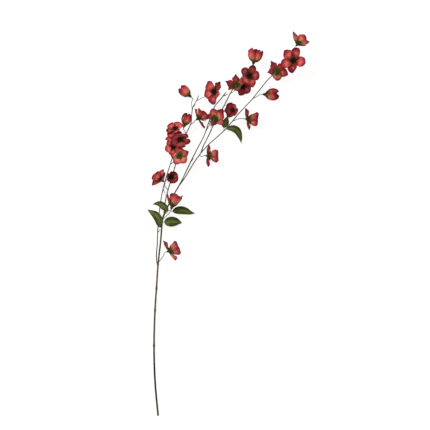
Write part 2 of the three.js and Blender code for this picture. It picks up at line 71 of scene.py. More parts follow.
# %% [markdown]
# ## The camera first
#
# The photograph looks straight down at the branch, and hardly any side of a stem shows, so it was taken
# from far off. A long lens high over the middle of the picture gives the same flat view. The lens and
# the height are chosen together so that one pixel covers the scale above.

# %% Camera over the middle of the picture
PICTURE_PIXELS = 430
LENS = 250
SENSOR = 36
MIDDLE_HEIGHT = 30
FARTHEST_SEEN = 30
field = PICTURE_PIXELS * MM_PER_PIXEL * MM
camera_height = field * LENS / SENSOR
camera_data = bpy.data.cameras.new("camera")
camera_data.lens = LENS
camera_data.sensor_width = SENSOR
camera_data.clip_end = FARTHEST_SEEN
camera = bpy.data.objects.new("camera", camera_data)
camera.location = place(PICTURE_PIXELS / 2, PICTURE_PIXELS / 2, MIDDLE_HEIGHT)
camera.location.z += camera_height
bpy.context.scene.collection.objects.link(camera)
bpy.context.scene.camera = camera
print("camera height in metres:", round(camera.location.z, 3))

# %% [markdown]
# ## Light
#
# The branch was photographed on white, in light from all sides. An even sky does part of that work. One
# large soft lamp from the upper left adds a direction, so that cupped petals and folded leaves keep a
# light and a dark side. The rest of the light comes up from the floor, which is laid further down.

# %% Sky, soft lamp and colour handling
SKY_STRENGTH = 0.55
LAMP_PLACE = Vector((-1.2, 1.3, 2.2))
LAMP_SIDE = 1.1
LAMP_WATTS = 52
scene = bpy.context.scene
scene.view_settings.view_transform = "Standard"
scene.world = bpy.data.worlds.new("studio")
scene.world.use_nodes = True
sky = scene.world.node_tree.nodes["Background"]
sky.inputs["Color"].default_value = (1.0, 0.995, 0.985, 1.0)
sky.inputs["Strength"].default_value = SKY_STRENGTH
lamp_data = bpy.data.lights.new("softbox", "AREA")
lamp_data.shape = "SQUARE"
lamp_data.size = LAMP_SIDE
lamp_data.energy = LAMP_WATTS
lamp = bpy.data.objects.new("softbox", lamp_data)
lamp.location = LAMP_PLACE
lamp.rotation_euler = (-LAMP_PLACE).to_track_quat("-Z", "Y").to_euler()
scene.collection.objects.link(lamp)
print("lamp distance in metres:", round(LAMP_PLACE.length, 2))

# %% [markdown]
# ## Colour and material helpers
#
# Colours are picked as the eye sees them, as hex codes, and the renderer wants them in linear light. One
# function turns them. A second one adds a node to a material: its first words say which node, the
# dictionary feeds its inputs with numbers or with other nodes' outputs, and the rest are its settings. A
# colour ramp starts with two ends, so its stops are given as both ends first and then those between. A
# last function gives the surface its colour, its relief and its plain values.

# %% Helpers for materials
def linear(code):
    """A hex colour as the renderer's linear red, green, blue and alpha"""
    channels = [int(code[start:start + 2], 16) / 255 for start in (1, 3, 5)]
    return [c / 12.92 if c <= 0.04045 else ((c + 0.055) / 1.055) ** 2.4 for c in channels] + [1.0]


def add_node(tree, kind, inputs=None, stops=(), **settings):
    """Adds one node with its settings, and feeds its inputs from values or from other sockets"""
    made = tree.nodes.new("ShaderNode" + kind)
    for name, value in settings.items():
        setattr(made, name, value)
    for name, value in (inputs or {}).items():
        if isinstance(value, bpy.types.NodeSocket):
            tree.links.new(value, made.inputs[name])
        else:
            made.inputs[name].default_value = value
    for index, (position, code) in enumerate(stops):
        elements = made.color_ramp.elements
        element = elements[index] if index < len(elements) else elements.new(position)
        element.position = position
        element.color = linear(code)
    return made


def new_material(name):
    """An empty node material and its nodes"""
    material = bpy.data.materials.new(name)
    material.use_nodes = True
    return material, material.node_tree


def finish_surface(tree, colour, normal, values):
    """Links colour and relief to a material's surface, and sets plain values by their inputs' names"""
    surface = tree.nodes["Principled BSDF"]
    tree.links.new(colour, surface.inputs["Base Color"])
    tree.links.new(normal, surface.inputs["Normal"])
    for name, value in values.items():
        surface.inputs[name].default_value = value


print("coral in linear light:", [round(value, 3) for value in linear("#d9694f")])

# %% [markdown]
# ## Where a point lies on its petal
#
# The petals are polyester cloth, cut out hot and dyed by hand, and the dye follows each petal's form. So
# the cloth reads the petal's own map, which is kept on its mesh when it is made: how far the point has
# run from the claw to the tip, and how far aside of the middle it is. Three noises make the dye uneven:
# blots about 5 mm across, the ragged line of a brush, about 1.5 mm, and a slow drift over about 17 mm in
# how much dye the brush held. Their scales are counts to the millimetre, so they read as real sizes.

# %% Places and noises on a petal
# For each noise: how many fit on a millimetre, and how many finer layers it has
DYE_NOISES = {"blots": (0.2, 2.0), "rags": (0.65, 2.0), "drift": (0.06, 1.0)}


def petal_places(tree):
    """Sockets for a point's place on its petal, and for the noises that the dye follows"""
    spots = add_node(tree, "UVMap", uv_map="petal")
    axes = add_node(tree, "SeparateXYZ", {"Vector": spots.outputs["UV"]})
    centred = add_node(tree, "Math", {0: axes.outputs["X"], 1: 2.0, 2: -1.0}, operation="MULTIPLY_ADD")
    aside = add_node(tree, "Math", {0: centred.outputs[0]}, operation="ABSOLUTE")
    where = add_node(tree, "TexCoord")
    at = {"map": spots.outputs["UV"], "run": axes.outputs["Y"], "aside": aside.outputs[0],
          "object": where.outputs["Object"]}
    for name, (per_mm, layers) in DYE_NOISES.items():
        inputs = {"Vector": at["object"], "Scale": per_mm / MM, "Detail": layers}
        at[name] = add_node(tree, "TexNoise", inputs).outputs["Fac"]
    return at


print("blots to the metre:", DYE_NOISES["blots"][0] / MM)

# %% [markdown]
# ## Dyes of a petal
#
# From the claw outwards the dye goes from olive gold or brown over peach and coral to crimson. The front
# is crimson down to its claw, which is painted dark as the shade in the throat, and the back is gold
# where the cup holds it. Both sides share one map, so the petal's mesh also carries its blossom's axis:
# a surface that looks along the axis is the front. A deep set of colours shows in blots of dye, and as
# painted shade at the sides of each petal. The middle of a petal is left palest as a painted highlight,
# and each petal has its own strength of dye.

# %% Pale and deep dyes, with painted shade and highlight
# The darkest stops at the claw, on the front and in the deep colours, are painted shade in the throat
FRONT_DYES_AND_SHADE = [(0.0, "#2a1610"), (1.0, "#962034"), (0.18, "#5e221a"), (0.36, "#c64a45"), (0.55, "#ee7a6c"),
              (0.76, "#d9464e")]
BACK_DYES = [(0.0, "#3a3816"), (1.0, "#8e1f33"), (0.2, "#6e6230"), (0.38, "#bd8450"), (0.56, "#dc7a64"),
             (0.78, "#c8464a")]
DEEP_DYES_AND_SHADE = [(0.0, "#241810"), (1.0, "#4e0e1e"), (0.16, "#4c2e18"), (0.34, "#7c2c1e"), (0.52, "#921e28"),
             (0.75, "#7a1426")]
# How far the blots shift the dyes along the run
RUN_SHIFT = 0.34
# How much painted shade at the sides takes from a petal's strength of dye, and how much the blots add to it
SIDE_SHADE, BLOTTING = 0.5, 1.3
# Cloth is deep below the first strength and bright above the second
BRIGHT_FROM, BRIGHT_TO = 0.5, 1.65
# The front begins where the surface looks along the blossom's axis by this much
FRONT_FROM, FRONT_TO = -0.2, 0.3


def front_share(tree):
    """A socket that is 1 on the front of a petal and 0 on its back"""
    axis = add_node(tree, "Attribute", attribute_name="axis")
    facing = add_node(tree, "NewGeometry")
    towards = add_node(tree, "VectorMath", {0: facing.outputs["Normal"], 1: axis.outputs["Vector"]},
                       operation="DOT_PRODUCT")
    front = add_node(tree, "MapRange", {"Value": towards.outputs["Value"], "From Min": FRONT_FROM,
                                        "From Max": FRONT_TO}, interpolation_type="SMOOTHSTEP")
    return front.outputs[0]


def brightness(tree, at):
    """A socket from 1 where a petal is bright to 0 where it is deep, with painted shade at its sides"""
    dye = add_node(tree, "Attribute", attribute_name="dye")
    # Painted shade and highlight: the sides of a petal are darkened and its middle is left light
    side_shaded = add_node(tree, "Math", {0: at["aside"], 1: -SIDE_SHADE, 2: dye.outputs["Fac"]},
                      operation="MULTIPLY_ADD")
    blotted = add_node(tree, "Math", {0: at["blots"], 1: BLOTTING, 2: side_shaded.outputs[0]},
                       operation="MULTIPLY_ADD")
    bright = add_node(tree, "MapRange", {"Value": blotted.outputs[0], "From Min": BRIGHT_FROM,
                                         "From Max": BRIGHT_TO}, interpolation_type="SMOOTHSTEP")
    return bright.outputs[0]


def dyed_inside(tree, at, bright):
    """The colour of a petal inside its edge, as a socket"""
    shift = add_node(tree, "Math", {0: at["blots"], 1: RUN_SHIFT, 2: -RUN_SHIFT / 2},
                     operation="MULTIPLY_ADD")
    run = add_node(tree, "Math", {0: at["run"], 1: shift.outputs[0]}, operation="ADD")
    front, back, deep = [add_node(tree, "ValToRGB", {"Fac": run.outputs[0]}, stops=dyes).outputs["Color"]
                         for dyes in (FRONT_DYES_AND_SHADE, BACK_DYES, DEEP_DYES_AND_SHADE)]
    pale = add_node(tree, "Mix", {"Factor": front_share(tree), "A": back, "B": front}, data_type="RGBA")
    # Low brightness takes the deep colours: dark blots of dye, and painted shade at the sides
    inside = add_node(tree, "Mix", {"Factor": bright, "A": deep, "B": pale.outputs["Result"]},
                      data_type="RGBA")
    return inside.outputs["Result"]


print("dyes from claw to tip:", len(FRONT_DYES_AND_SHADE), "on the front,", len(BACK_DYES), "on the back")

# %% [markdown]
# ## Plum edge, weave and veins
#
# The outer edge is brushed with plum while the cloth is damp. A point gets plum when it has run far
# out, and the noises push that line in and out: ragged where the brush jumped, broad on one petal and
# missing on another, and fainter where the cloth is brightest. Cloth scatters light at its fibres, so
# it is rough with a soft sheen. Pressed veins fan out from the claw. The weave has threads of 0.6 mm,
# coarser than real, so that it shows.

# %% Dyed polyester petals
PLUM = "#3c0a18"
PLUM_NOISES = {"rags": 0.16, "drift": 1.1, "blots": 0.3}
PLUM_FROM, PLUM_TO = 1.5, 1.95
PLUM_FADING = 0.6
# A wave texture repeats about every 0.31 of its unit, so this gives a thread and a gap to 1.2 mm
WEAVE_PER_MM = 0.26
WEAVE_SHARE = 0.25
# The map is one wide, and at this scale the same texture puts 14 veins across a petal
VEIN_SCALE = 4.5


def with_plum_edge(tree, at, inside, bright):
    """Brushes plum over the outer edge of a petal's colour"""
    line = at["run"]
    for name, share in PLUM_NOISES.items():
        line = add_node(tree, "Math", {0: at[name], 1: share, 2: line}, operation="MULTIPLY_ADD").outputs[0]
    plum = add_node(tree, "MapRange", {"Value": line, "From Min": PLUM_FROM, "From Max": PLUM_TO},
                    interpolation_type="SMOOTHSTEP")
    fading = add_node(tree, "Math", {0: bright, 1: -PLUM_FADING, 2: 1.0}, operation="MULTIPLY_ADD")
    edge = add_node(tree, "Math", {0: plum.outputs[0], 1: fading.outputs[0]}, operation="MULTIPLY")
    edged = add_node(tree, "Mix", {"Factor": edge.outputs[0], "A": inside, "B": linear(PLUM)},
                     data_type="RGBA")
    return edged.outputs["Result"]


def petal_relief(tree, at):
    """Pressed veins and the weave, as a normal"""
    fan = add_node(tree, "TexWave", {"Vector": at["map"], "Scale": VEIN_SCALE, "Distortion": 2.0,
                                     "Detail Scale": 2.0}, bands_direction="X")
    threads = {"Vector": at["object"], "Scale": WEAVE_PER_MM / MM}
    warp, weft = [add_node(tree, "TexWave", threads, bands_direction=way).outputs["Fac"] for way in "XY"]
    weave = add_node(tree, "Math", {0: warp, 1: weft}, operation="MULTIPLY")
    relief = add_node(tree, "Math", {0: weave.outputs[0], 1: WEAVE_SHARE, 2: fan.outputs["Fac"]},
                      operation="MULTIPLY_ADD")
    bump = add_node(tree, "Bump", {"Height": relief.outputs[0], "Strength": 0.5, "Distance": 0.3 * MM})
    return bump.outputs["Normal"]


def petal_cloth():
    """Dyed polyester cloth for petals, coloured by the place on the petal"""
    material, tree = new_material("dyed_polyester_cloth")
    at = petal_places(tree)
    bright = brightness(tree, at)
    colour = with_plum_edge(tree, at, dyed_inside(tree, at, bright), bright)
    finish_surface(tree, colour, petal_relief(tree, at), {
        "Roughness": 0.7, "Specular IOR Level": 0.15, "Sheen Weight": 0.08, "Sheen Roughness": 0.4,
        "Sheen Tint": linear("#ff9aa0"),
    })
    return material


PETAL_CLOTH = petal_cloth()
print("petal nodes:", len(PETAL_CLOTH.node_tree.nodes))

# %% [markdown]
# ## Leaf cloth
#
# The leaves are polyester too, but pressed between hot plates and coated, so they have a satin gloss. The
# pressing leaves a pale midrib and side veins that run forward to the edge. The map of a leaf works as
# that of a petal, so the veins are lines of its two measures: a point is near a vein when its run, less
# a share of how far aside it is, is near a whole number of spacings. The green print is patchy, with
# lighter places about 8 mm across, and a painted highlight makes it palest in a band along the midrib.

# %% Coated leaves
SIDE_VEINS = 8.0
VEIN_SLANT = 1.7
SIDE_VEIN_STRENGTH = 0.45
PATCHES_PER_MM = 0.12
PEBBLES_PER_MM = 1.2
PEBBLE_SHARE = 0.2
LEAF_GREENS = [(0.3, "#1c2401"), (0.7, "#465210")]
# A painted highlight along the midrib: its green, its width as a share of the half width, and its strength
HIGHLIGHT_GREEN = "#6c7a34"
HIGHLIGHT_WIDTH, HIGHLIGHT_STRENGTH = 0.6, 0.6
VEIN_GREEN = "#6b763c"


def leaf_veins(tree, run, aside):
    """A socket that is 1 on the midrib, and less on the side veins"""
    spaced = add_node(tree, "Math", {0: run, 1: SIDE_VEINS}, operation="MULTIPLY")
    slanted = add_node(tree, "Math", {0: aside, 1: -VEIN_SLANT, 2: spaced.outputs[0]},
                       operation="MULTIPLY_ADD")
    away = add_node(tree, "Math", {0: slanted.outputs[0], 1: 0.5}, operation="PINGPONG")
    # Each line is full up to a first distance from its middle, and gone at a second one
    side_vein, midrib = [
        add_node(tree, "MapRange", {"Value": distance, "From Min": full, "From Max": gone, "To Min": 1.0,
                                    "To Max": 0.0}, interpolation_type="SMOOTHSTEP").outputs[0]
        for distance, full, gone in ((away.outputs[0], 0.0, 0.1), (aside, 0.02, 0.09))
    ]
    faint = add_node(tree, "Math", {0: side_vein, 1: SIDE_VEIN_STRENGTH}, operation="MULTIPLY")
    veins = add_node(tree, "Math", {0: faint.outputs[0], 1: midrib}, operation="MAXIMUM")
    return veins.outputs[0]


def leaf_cloth():
    """Pressed and coated polyester cloth for leaves"""
    material, tree = new_material("coated_polyester_leaf")
    spots = add_node(tree, "UVMap", uv_map="leaf")
    axes = add_node(tree, "SeparateXYZ", {"Vector": spots.outputs["UV"]})
    centred = add_node(tree, "Math", {0: axes.outputs["X"], 1: 2.0, 2: -1.0}, operation="MULTIPLY_ADD")
    aside = add_node(tree, "Math", {0: centred.outputs[0]}, operation="ABSOLUTE").outputs[0]
    veins = leaf_veins(tree, axes.outputs["Y"], aside)
    where = add_node(tree, "TexCoord").outputs["Object"]
    patches = add_node(tree, "TexNoise", {"Vector": where, "Scale": PATCHES_PER_MM / MM, "Detail": 3.0})
    green = add_node(tree, "ValToRGB", {"Fac": patches.outputs["Fac"]}, stops=LEAF_GREENS)
    # Painted highlight: the green is lightened in a band along the midrib
    painted_highlight = add_node(tree, "MapRange", {"Value": aside, "From Min": 0.0, "From Max": HIGHLIGHT_WIDTH,
                                       "To Min": HIGHLIGHT_STRENGTH, "To Max": 0.0},
                    interpolation_type="SMOOTHSTEP")
    highlighted = add_node(tree, "Mix", {"Factor": painted_highlight.outputs[0], "A": green.outputs["Color"],
                                    "B": linear(HIGHLIGHT_GREEN)}, data_type="RGBA")
    veined = add_node(tree, "Mix", {"Factor": veins, "A": highlighted.outputs["Result"],
                                    "B": linear(VEIN_GREEN)}, data_type="RGBA")
    pebbles = add_node(tree, "TexNoise", {"Vector": where, "Scale": PEBBLES_PER_MM / MM, "Detail": 1.0})
    relief = add_node(tree, "Math", {0: pebbles.outputs["Fac"], 1: PEBBLE_SHARE, 2: veins},
                      operation="MULTIPLY_ADD")
    bump = add_node(tree, "Bump", {"Height": relief.outputs[0], "Strength": 0.55, "Distance": 0.5 * MM},
                    invert=True)
    finish_surface(tree, veined.outputs["Result"], bump.outputs["Normal"],
                   {"Roughness": 0.4, "Specular IOR Level": 0.15})
    return material


LEAF_CLOTH = leaf_cloth()
print("leaf nodes:", len(LEAF_CLOTH.node_tree.nodes))

# %% [markdown]
# ## Moulded stems
#
# The stems are polyethylene moulded over wire and painted. The mould gives them bark: short ridges along
# the stem. The paint is uneven, grey brown with an olive tinge, and on the main stem it is nearly black
# in one stretch low down. A noise that is stretched along the stem makes the ridges. As most stems run
# along the branch, the stretch is along the frame's second axis, and so are the paint's stops.

# %% Painted bark and twigs
RIDGE_WIDTH = 0.8
STAINS_PER_MM = 0.09
STAIN_SHIFT = 0.12
BRANCH_ENDS = -0.48, 0.48
BARK_PAINT = [(0.0, "#4c4538"), (1.0, "#51483c"), (0.09, "#3e382c"), (0.165, "#1a1613"), (0.215, "#302924"),
              (0.27, "#574841"), (0.36, "#4b4036"), (0.46, "#4a4133"), (0.56, "#45412f")]
TWIG_PAINT = [(0.3, "#4a4236"), (1.0, "#6a6253"), (0.55, "#564e3f"), (0.8, "#625a4a")]


def painted_bark(name, paint, ridge_length):
    """Moulded and painted polyethylene, with ridges of a length in millimetres along the stem"""
    material, tree = new_material(name)
    where = add_node(tree, "TexCoord").outputs["Object"]
    across, along = 1 / (RIDGE_WIDTH * MM), 1 / (ridge_length * MM)
    ridges = add_node(tree, "Mapping", {"Vector": where, "Scale": (across, along, across)})
    ridged = add_node(tree, "TexNoise", {"Vector": ridges.outputs["Vector"], "Scale": 1.0, "Detail": 3.0})
    stains = add_node(tree, "TexNoise", {"Vector": where, "Scale": STAINS_PER_MM / MM, "Detail": 3.0})
    axes = add_node(tree, "SeparateXYZ", {"Vector": where})
    share = add_node(tree, "MapRange", {"Value": axes.outputs["Y"], "From Min": BRANCH_ENDS[0],
                                        "From Max": BRANCH_ENDS[1]})
    spread = add_node(tree, "Math", {0: stains.outputs["Fac"], 1: STAIN_SHIFT, 2: share.outputs[0]},
                      operation="MULTIPLY_ADD")
    painted = add_node(tree, "ValToRGB", {"Fac": spread.outputs[0]}, stops=paint)
    # The paint is rubbed lighter on the ridges and stays dark between them
    worn = add_node(tree, "MapRange", {"Value": ridged.outputs["Fac"], "From Min": 0.35, "From Max": 0.7,
                                       "To Min": 0.65, "To Max": 1.3})
    tinted = add_node(tree, "Mix", {"Factor": 1.0, "A": painted.outputs["Color"], "B": worn.outputs[0]},
                      data_type="RGBA", blend_type="MULTIPLY")
    bump = add_node(tree, "Bump", {"Height": ridged.outputs["Fac"], "Strength": 0.8, "Distance": 0.4 * MM})
    finish_surface(tree, tinted.outputs["Result"], bump.outputs["Normal"],
                   {"Roughness": 0.62, "Specular IOR Level": 0.25})
    return material


BARK = painted_bark("painted_polyethylene_bark", BARK_PAINT, 6)
TWIG = painted_bark("painted_polyethylene_twig", TWIG_PAINT, 3)
print("stem materials:", BARK.name, TWIG.name)

# %% [markdown]
# ## Cups and stamens
#
# The cup under a blossom is moulded polyethylene, dark olive and a little glossy, with brown tinges
# that run into the olive. The stamens are stiff nylon threads with dipped heads: very dark brown, seen
# against the throat as a dark tuft and against white as fine whiskers.

# %% Moulded cups and nylon threads
def moulded(name, tones, grain, roughness):
    """Moulded plastic in two tones that run into each other, with a grain in millimetres"""
    material, tree = new_material(name)
    where = add_node(tree, "TexCoord").outputs["Object"]
    flow = add_node(tree, "TexNoise", {"Vector": where, "Scale": 1 / (grain * MM), "Detail": 2.0})
    coloured = add_node(tree, "ValToRGB", {"Fac": flow.outputs["Fac"]}, stops=tones)
    bump = add_node(tree, "Bump", {"Height": flow.outputs["Fac"], "Strength": 0.35, "Distance": 0.3 * MM})
    finish_surface(tree, coloured.outputs["Color"], bump.outputs["Normal"],
                   {"Roughness": roughness, "Specular IOR Level": 0.2})
    return material


CUP = moulded("moulded_polyethylene_cup", [(0.3, "#2b300a"), (0.72, "#4c3f12")], 2.5, 0.6)
THREAD = moulded("dipped_nylon_thread", [(0.35, "#1d110d"), (0.75, "#3d2a20")], 1.0, 0.55)
print("moulded materials:", CUP.name, THREAD.name)

# %% [markdown]
# ## The floor
#
# The floor belongs to the stage and not to the branch. It is a sheet of white acrylic that is lit from
# behind, as a light table is. Its glow makes the picture's white, drowns all but the closest shadows
# and lights the petals from below. It lies a fifth of a millimetre under the branch, so that no piece
# shares its plane.

# %% Lay the floor
FLOOR_HALF_SIDE = 6
FLOOR_DEPTH = 0.2
GLOW = 0.87
ACRYLIC = moulded("backlit_white_acrylic", [(0.2, "#7d7c7a"), (0.8, "#81807d")], 40, 0.9)
acrylic_surface = ACRYLIC.node_tree.nodes["Principled BSDF"]
acrylic_surface.inputs["Emission Color"].default_value = (1.0, 0.995, 0.99, 1.0)
acrylic_surface.inputs["Emission Strength"].default_value = GLOW
floor_mesh = bmesh.new()
bmesh.ops.create_grid(floor_mesh, x_segments=1, y_segments=1, size=FLOOR_HALF_SIDE)
bmesh.ops.translate(floor_mesh, verts=floor_mesh.verts, vec=(0, 0, -FLOOR_DEPTH * MM))
floor_data = bpy.data.meshes.new("floor")
floor_mesh.to_mesh(floor_data)
floor_mesh.free()
floor_data.materials.append(ACRYLIC)
floor = bpy.data.objects.new("floor", floor_data)
scene.collection.objects.link(floor)

# %% [markdown]
# ## From a mesh to a piece of the branch
#
# Each piece is drawn as a bmesh and then becomes an object. The object stays at the origin, its mesh
# carries its place, and it rides on the frame's one body. The imported solid that it stands for is then
# hidden. Faces are turned outwards, and all of them are shaded smooth. Cloth is drawn as a sheet without
# thickness, and two modifiers make it a real one: the first gives it a wall, and the second rounds the
# outline, which is drawn with few corners.

# %% Finish a piece
def finish_piece(name, mesh, material, node):
    """Makes an object of a finished mesh and ties it to the frame"""
    bmesh.ops.recalc_face_normals(mesh, faces=mesh.faces)
    data = bpy.data.meshes.new(name)
    mesh.to_mesh(data)
    mesh.free()
    data.shade_smooth()
    data.materials.append(material)
    piece = bpy.data.objects.new(name, data)
    scene.collection.objects.link(piece)
    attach(piece, "root")
    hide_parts(node)
    return piece


def give_thickness(piece, thickness):
    """Turns a sheet into cloth of a real thickness in millimetres, and rounds its outline"""
    wall = piece.modifiers.new("thickness", "SOLIDIFY")
    wall.thickness = thickness * MM
    wall.offset = 0
    finer = piece.modifiers.new("rounding", "SUBSURF")
    finer.levels = 1
    finer.render_levels = 1


# %% [markdown]
# ## Smooth routes
#
# A stem is drawn by a few places that it passes through. Between them the route has to bend smoothly
# without swinging wide, even where the places are unevenly spaced. A centripetal curve does that: the
# direction at each place comes from its neighbours, weighed by the square roots of their distances. Each
# stretch is then a Bezier curve, which Blender can divide.

# %% Draw a smooth route through places
def route_through(places, step):
    """Points about a step in millimetres apart on a smooth curve through some places in metres"""
    padded = [2 * places[0] - places[1], *places, 2 * places[-1] - places[-2]]
    route = []
    for before, start, end, after in zip(padded, padded[1:], padded[2:], padded[3:]):
        near = math.sqrt((start - before).length)
        here = math.sqrt((end - start).length)
        far = math.sqrt((after - end).length)
        leave = here * ((start - before) / near - (end - before) / (near + here)) + (end - start)
        arrive = (end - start) + here * ((after - end) / far - (after - start) / (here + far))
        count = max(3, round((end - start).length / (step * MM)) + 1)
        route += interpolate_bezier(start, start + leave / 3, end - arrive / 3, end, count)[:-1]
    return route + [places[-1].copy()]


def route_length(route):
    """The length of a route in metres"""
    return sum((there - here).length for here, there in zip(route, route[1:]))


def point_at(route, share):
    """The point and the direction at a share of a route's length"""
    left = share * route_length(route)
    for here, there in zip(route, route[1:]):
        span = (there - here).length
        if left <= span or there is route[-1]:
            return here.lerp(there, min(left / span, 1.0)), (there - here).normalized()
        left -= span


ROUTES = {
    "main": [(157.9, 416.5, 2.1), (154.9, 383, 2.9), (153.8, 349.5, 4.5), (154.8, 310.7, 7.5),
             (156.4, 287, 10), (158, 264, 12.5), (160.6, 241, 15), (162.7, 218, 18), (164.5, 213, 18.6)],
    "trunk": [(163.2, 217, 18.2), (168, 206, 20), (173.3, 195.3, 22), (178.5, 186.6, 24)],
    "left": [(157.7, 267.5, 12), (156.3, 258, 11), (157.1, 244, 10), (157.7, 228, 9.5), (159.4, 210, 10),
             (162.2, 192, 12), (166.2, 177, 14), (169.3, 167, 16), (171.5, 160, 14), (172.8, 156, 11)],
    "middle": [(163.6, 215.8, 18.2), (165.4, 200.4, 15), (168.8, 187, 14), (173.9, 170, 15), (177, 160, 16),
               (181, 148, 17), (184.8, 136, 19), (187.5, 130.5, 20), (191, 123, 22), (191.7, 114.4, 24),
               (192.8, 107.5, 26), (197.4, 98.8, 28), (198.7, 94.8, 29)],
    "inner": [(178.2, 187, 24), (182.2, 179.5, 23.5), (190.4, 162.3, 23), (196.8, 149.6, 22.5),
              (204.2, 135.3, 22), (208.5, 123, 22), (215, 106, 24), (221.4, 98.3, 27), (226.2, 91.9, 30)],
    "outer": [(179.2, 185.4, 24.2), (184.9, 177.6, 26), (194.2, 162.3, 29), (200.6, 153.4, 31),
              (208.2, 145, 32), (225.3, 129.5, 33), (239.3, 113, 35), (252.3, 99.1, 36), (262, 87, 37),
              (266.5, 81.3, 35), (272, 75.6, 19), (280, 69, 16), (287, 62, 22), (292, 55, 31),
              (294.4, 49.5, 37)],
    "centre": [(200.9, 153, 31), (203.1, 146.4, 30), (207.9, 137, 28), (212.5, 127, 26), (218.5, 115, 24),
               (224, 106, 24), (227.2, 99.5, 24), (231, 92, 23), (238, 82, 22), (246, 72, 24),
               (251.5, 66.6, 32)],
}
FINE_STEP = 1.5
FINE = {name: route_through([place(*spot) for spot in spots], FINE_STEP) for name, spots in ROUTES.items()}
print("stem lengths in mm:", {name: round(route_length(route) / MM) for name, route in FINE.items()})

# %% [markdown]
# ## Drawing a stem
#
# A stem is a ring of corners that is pulled along its route. Each step extrudes the ring's edges, turns
# the new ring with the route and scales it to the thickness there. The first ring is capped when it is
# made and the last one at the end, so the stem is closed. The rims of both caps stay sharp.

# %% Pull a ring along a route
def pull_ring(mesh, route, thickness_at, sides):
    """Draws a round stem. thickness_at gives its radius in millimetres at a distance in millimetres"""
    heading = (route[1] - route[0]).normalized()
    radius = thickness_at(0.0)
    upright = Vector((0, 0, 1)).rotation_difference(heading).to_matrix().to_4x4()
    start = Matrix.Translation(route[0]) @ upright
    ring = bmesh.ops.create_circle(mesh, cap_ends=True, segments=sides, radius=radius * MM,
                                   matrix=start)["verts"]
    rim = list(dict.fromkeys(edge for corner in ring for edge in corner.link_edges))
    edges = rim
    travelled = 0.0
    for index in range(1, len(route)):
        here, there = route[index - 1], route[index]
        travelled += (there - here).length / MM
        onward = (route[min(index + 1, len(route) - 1)] - here).normalized()
        wanted = thickness_at(travelled)
        step = Matrix.Translation(there) @ heading.rotation_difference(onward).to_matrix().to_4x4()
        step = step @ Matrix.Scale(wanted / radius, 4) @ Matrix.Translation(-here)
        grown = bmesh.ops.extrude_edge_only(mesh, edges=edges)["geom"]
        ring = [part for part in grown if isinstance(part, bmesh.types.BMVert)]
        edges = [part for part in grown if isinstance(part, bmesh.types.BMEdge) and part.is_boundary]
        bmesh.ops.transform(mesh, matrix=step, verts=ring)
        heading, radius = onward, wanted
    bmesh.ops.edgeloop_fill(mesh, edges=edges)
    for edge in [*rim, *edges]:
        edge.smooth = False


def nearest_on(names, across, down):
    """The point of some stems that lies under a pixel"""
    wanted = place(across, down, 0)
    points = [point for name in names for point in FINE[name]]
    return min(points, key=lambda point: (point.xy - wanted.xy).length)


print("the lowest fork lies at", [round(value, 3) for value in nearest_on(["main"], 157.7, 267.5)])

# %% [markdown]
# ## The blossoms, one by one
#
# Each entry places one blossom: the pixel and height of its throat, the way it faces in plan
# (anticlockwise from the frame's first axis), how far it looks up, and how far its petals are turned
# round its axis. Then come the opening of each petal from the axis, how far it bends inwards on its
# length, and the route of its stalk from the stem that carries it. The places and routes are those of
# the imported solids. The tone, the curled petals and the fullness of the cloth are added here, and so are
# a few openings and lengths, because soft cloth closes further and reaches further than a solid blade.

# %% Places and shapes of the blossoms
OPEN = (76, 78, 74, 79, 75)
BUD = (12, 14, 11, 13, 14)
BUD_BOW = -108
USUAL_LENGTH = 27


def blossom(name, throat, azimuth, tilt, roll, openings, bow, foot, via=(), length=USUAL_LENGTH,
            stamens=True, tone=0.5, curled=(), full=1.12):
    """One blossom by name. Its tone goes from deep crimson at 0 to coral at 1, curled lists petals"""
    return {"name": name, "throat": throat, "azimuth": azimuth, "tilt": tilt, "roll": roll,
            "openings": openings, "bow": bow, "foot": foot, "via": via, "length": length,
            "stamens": stamens, "tone": tone, "curled": curled, "full": full}


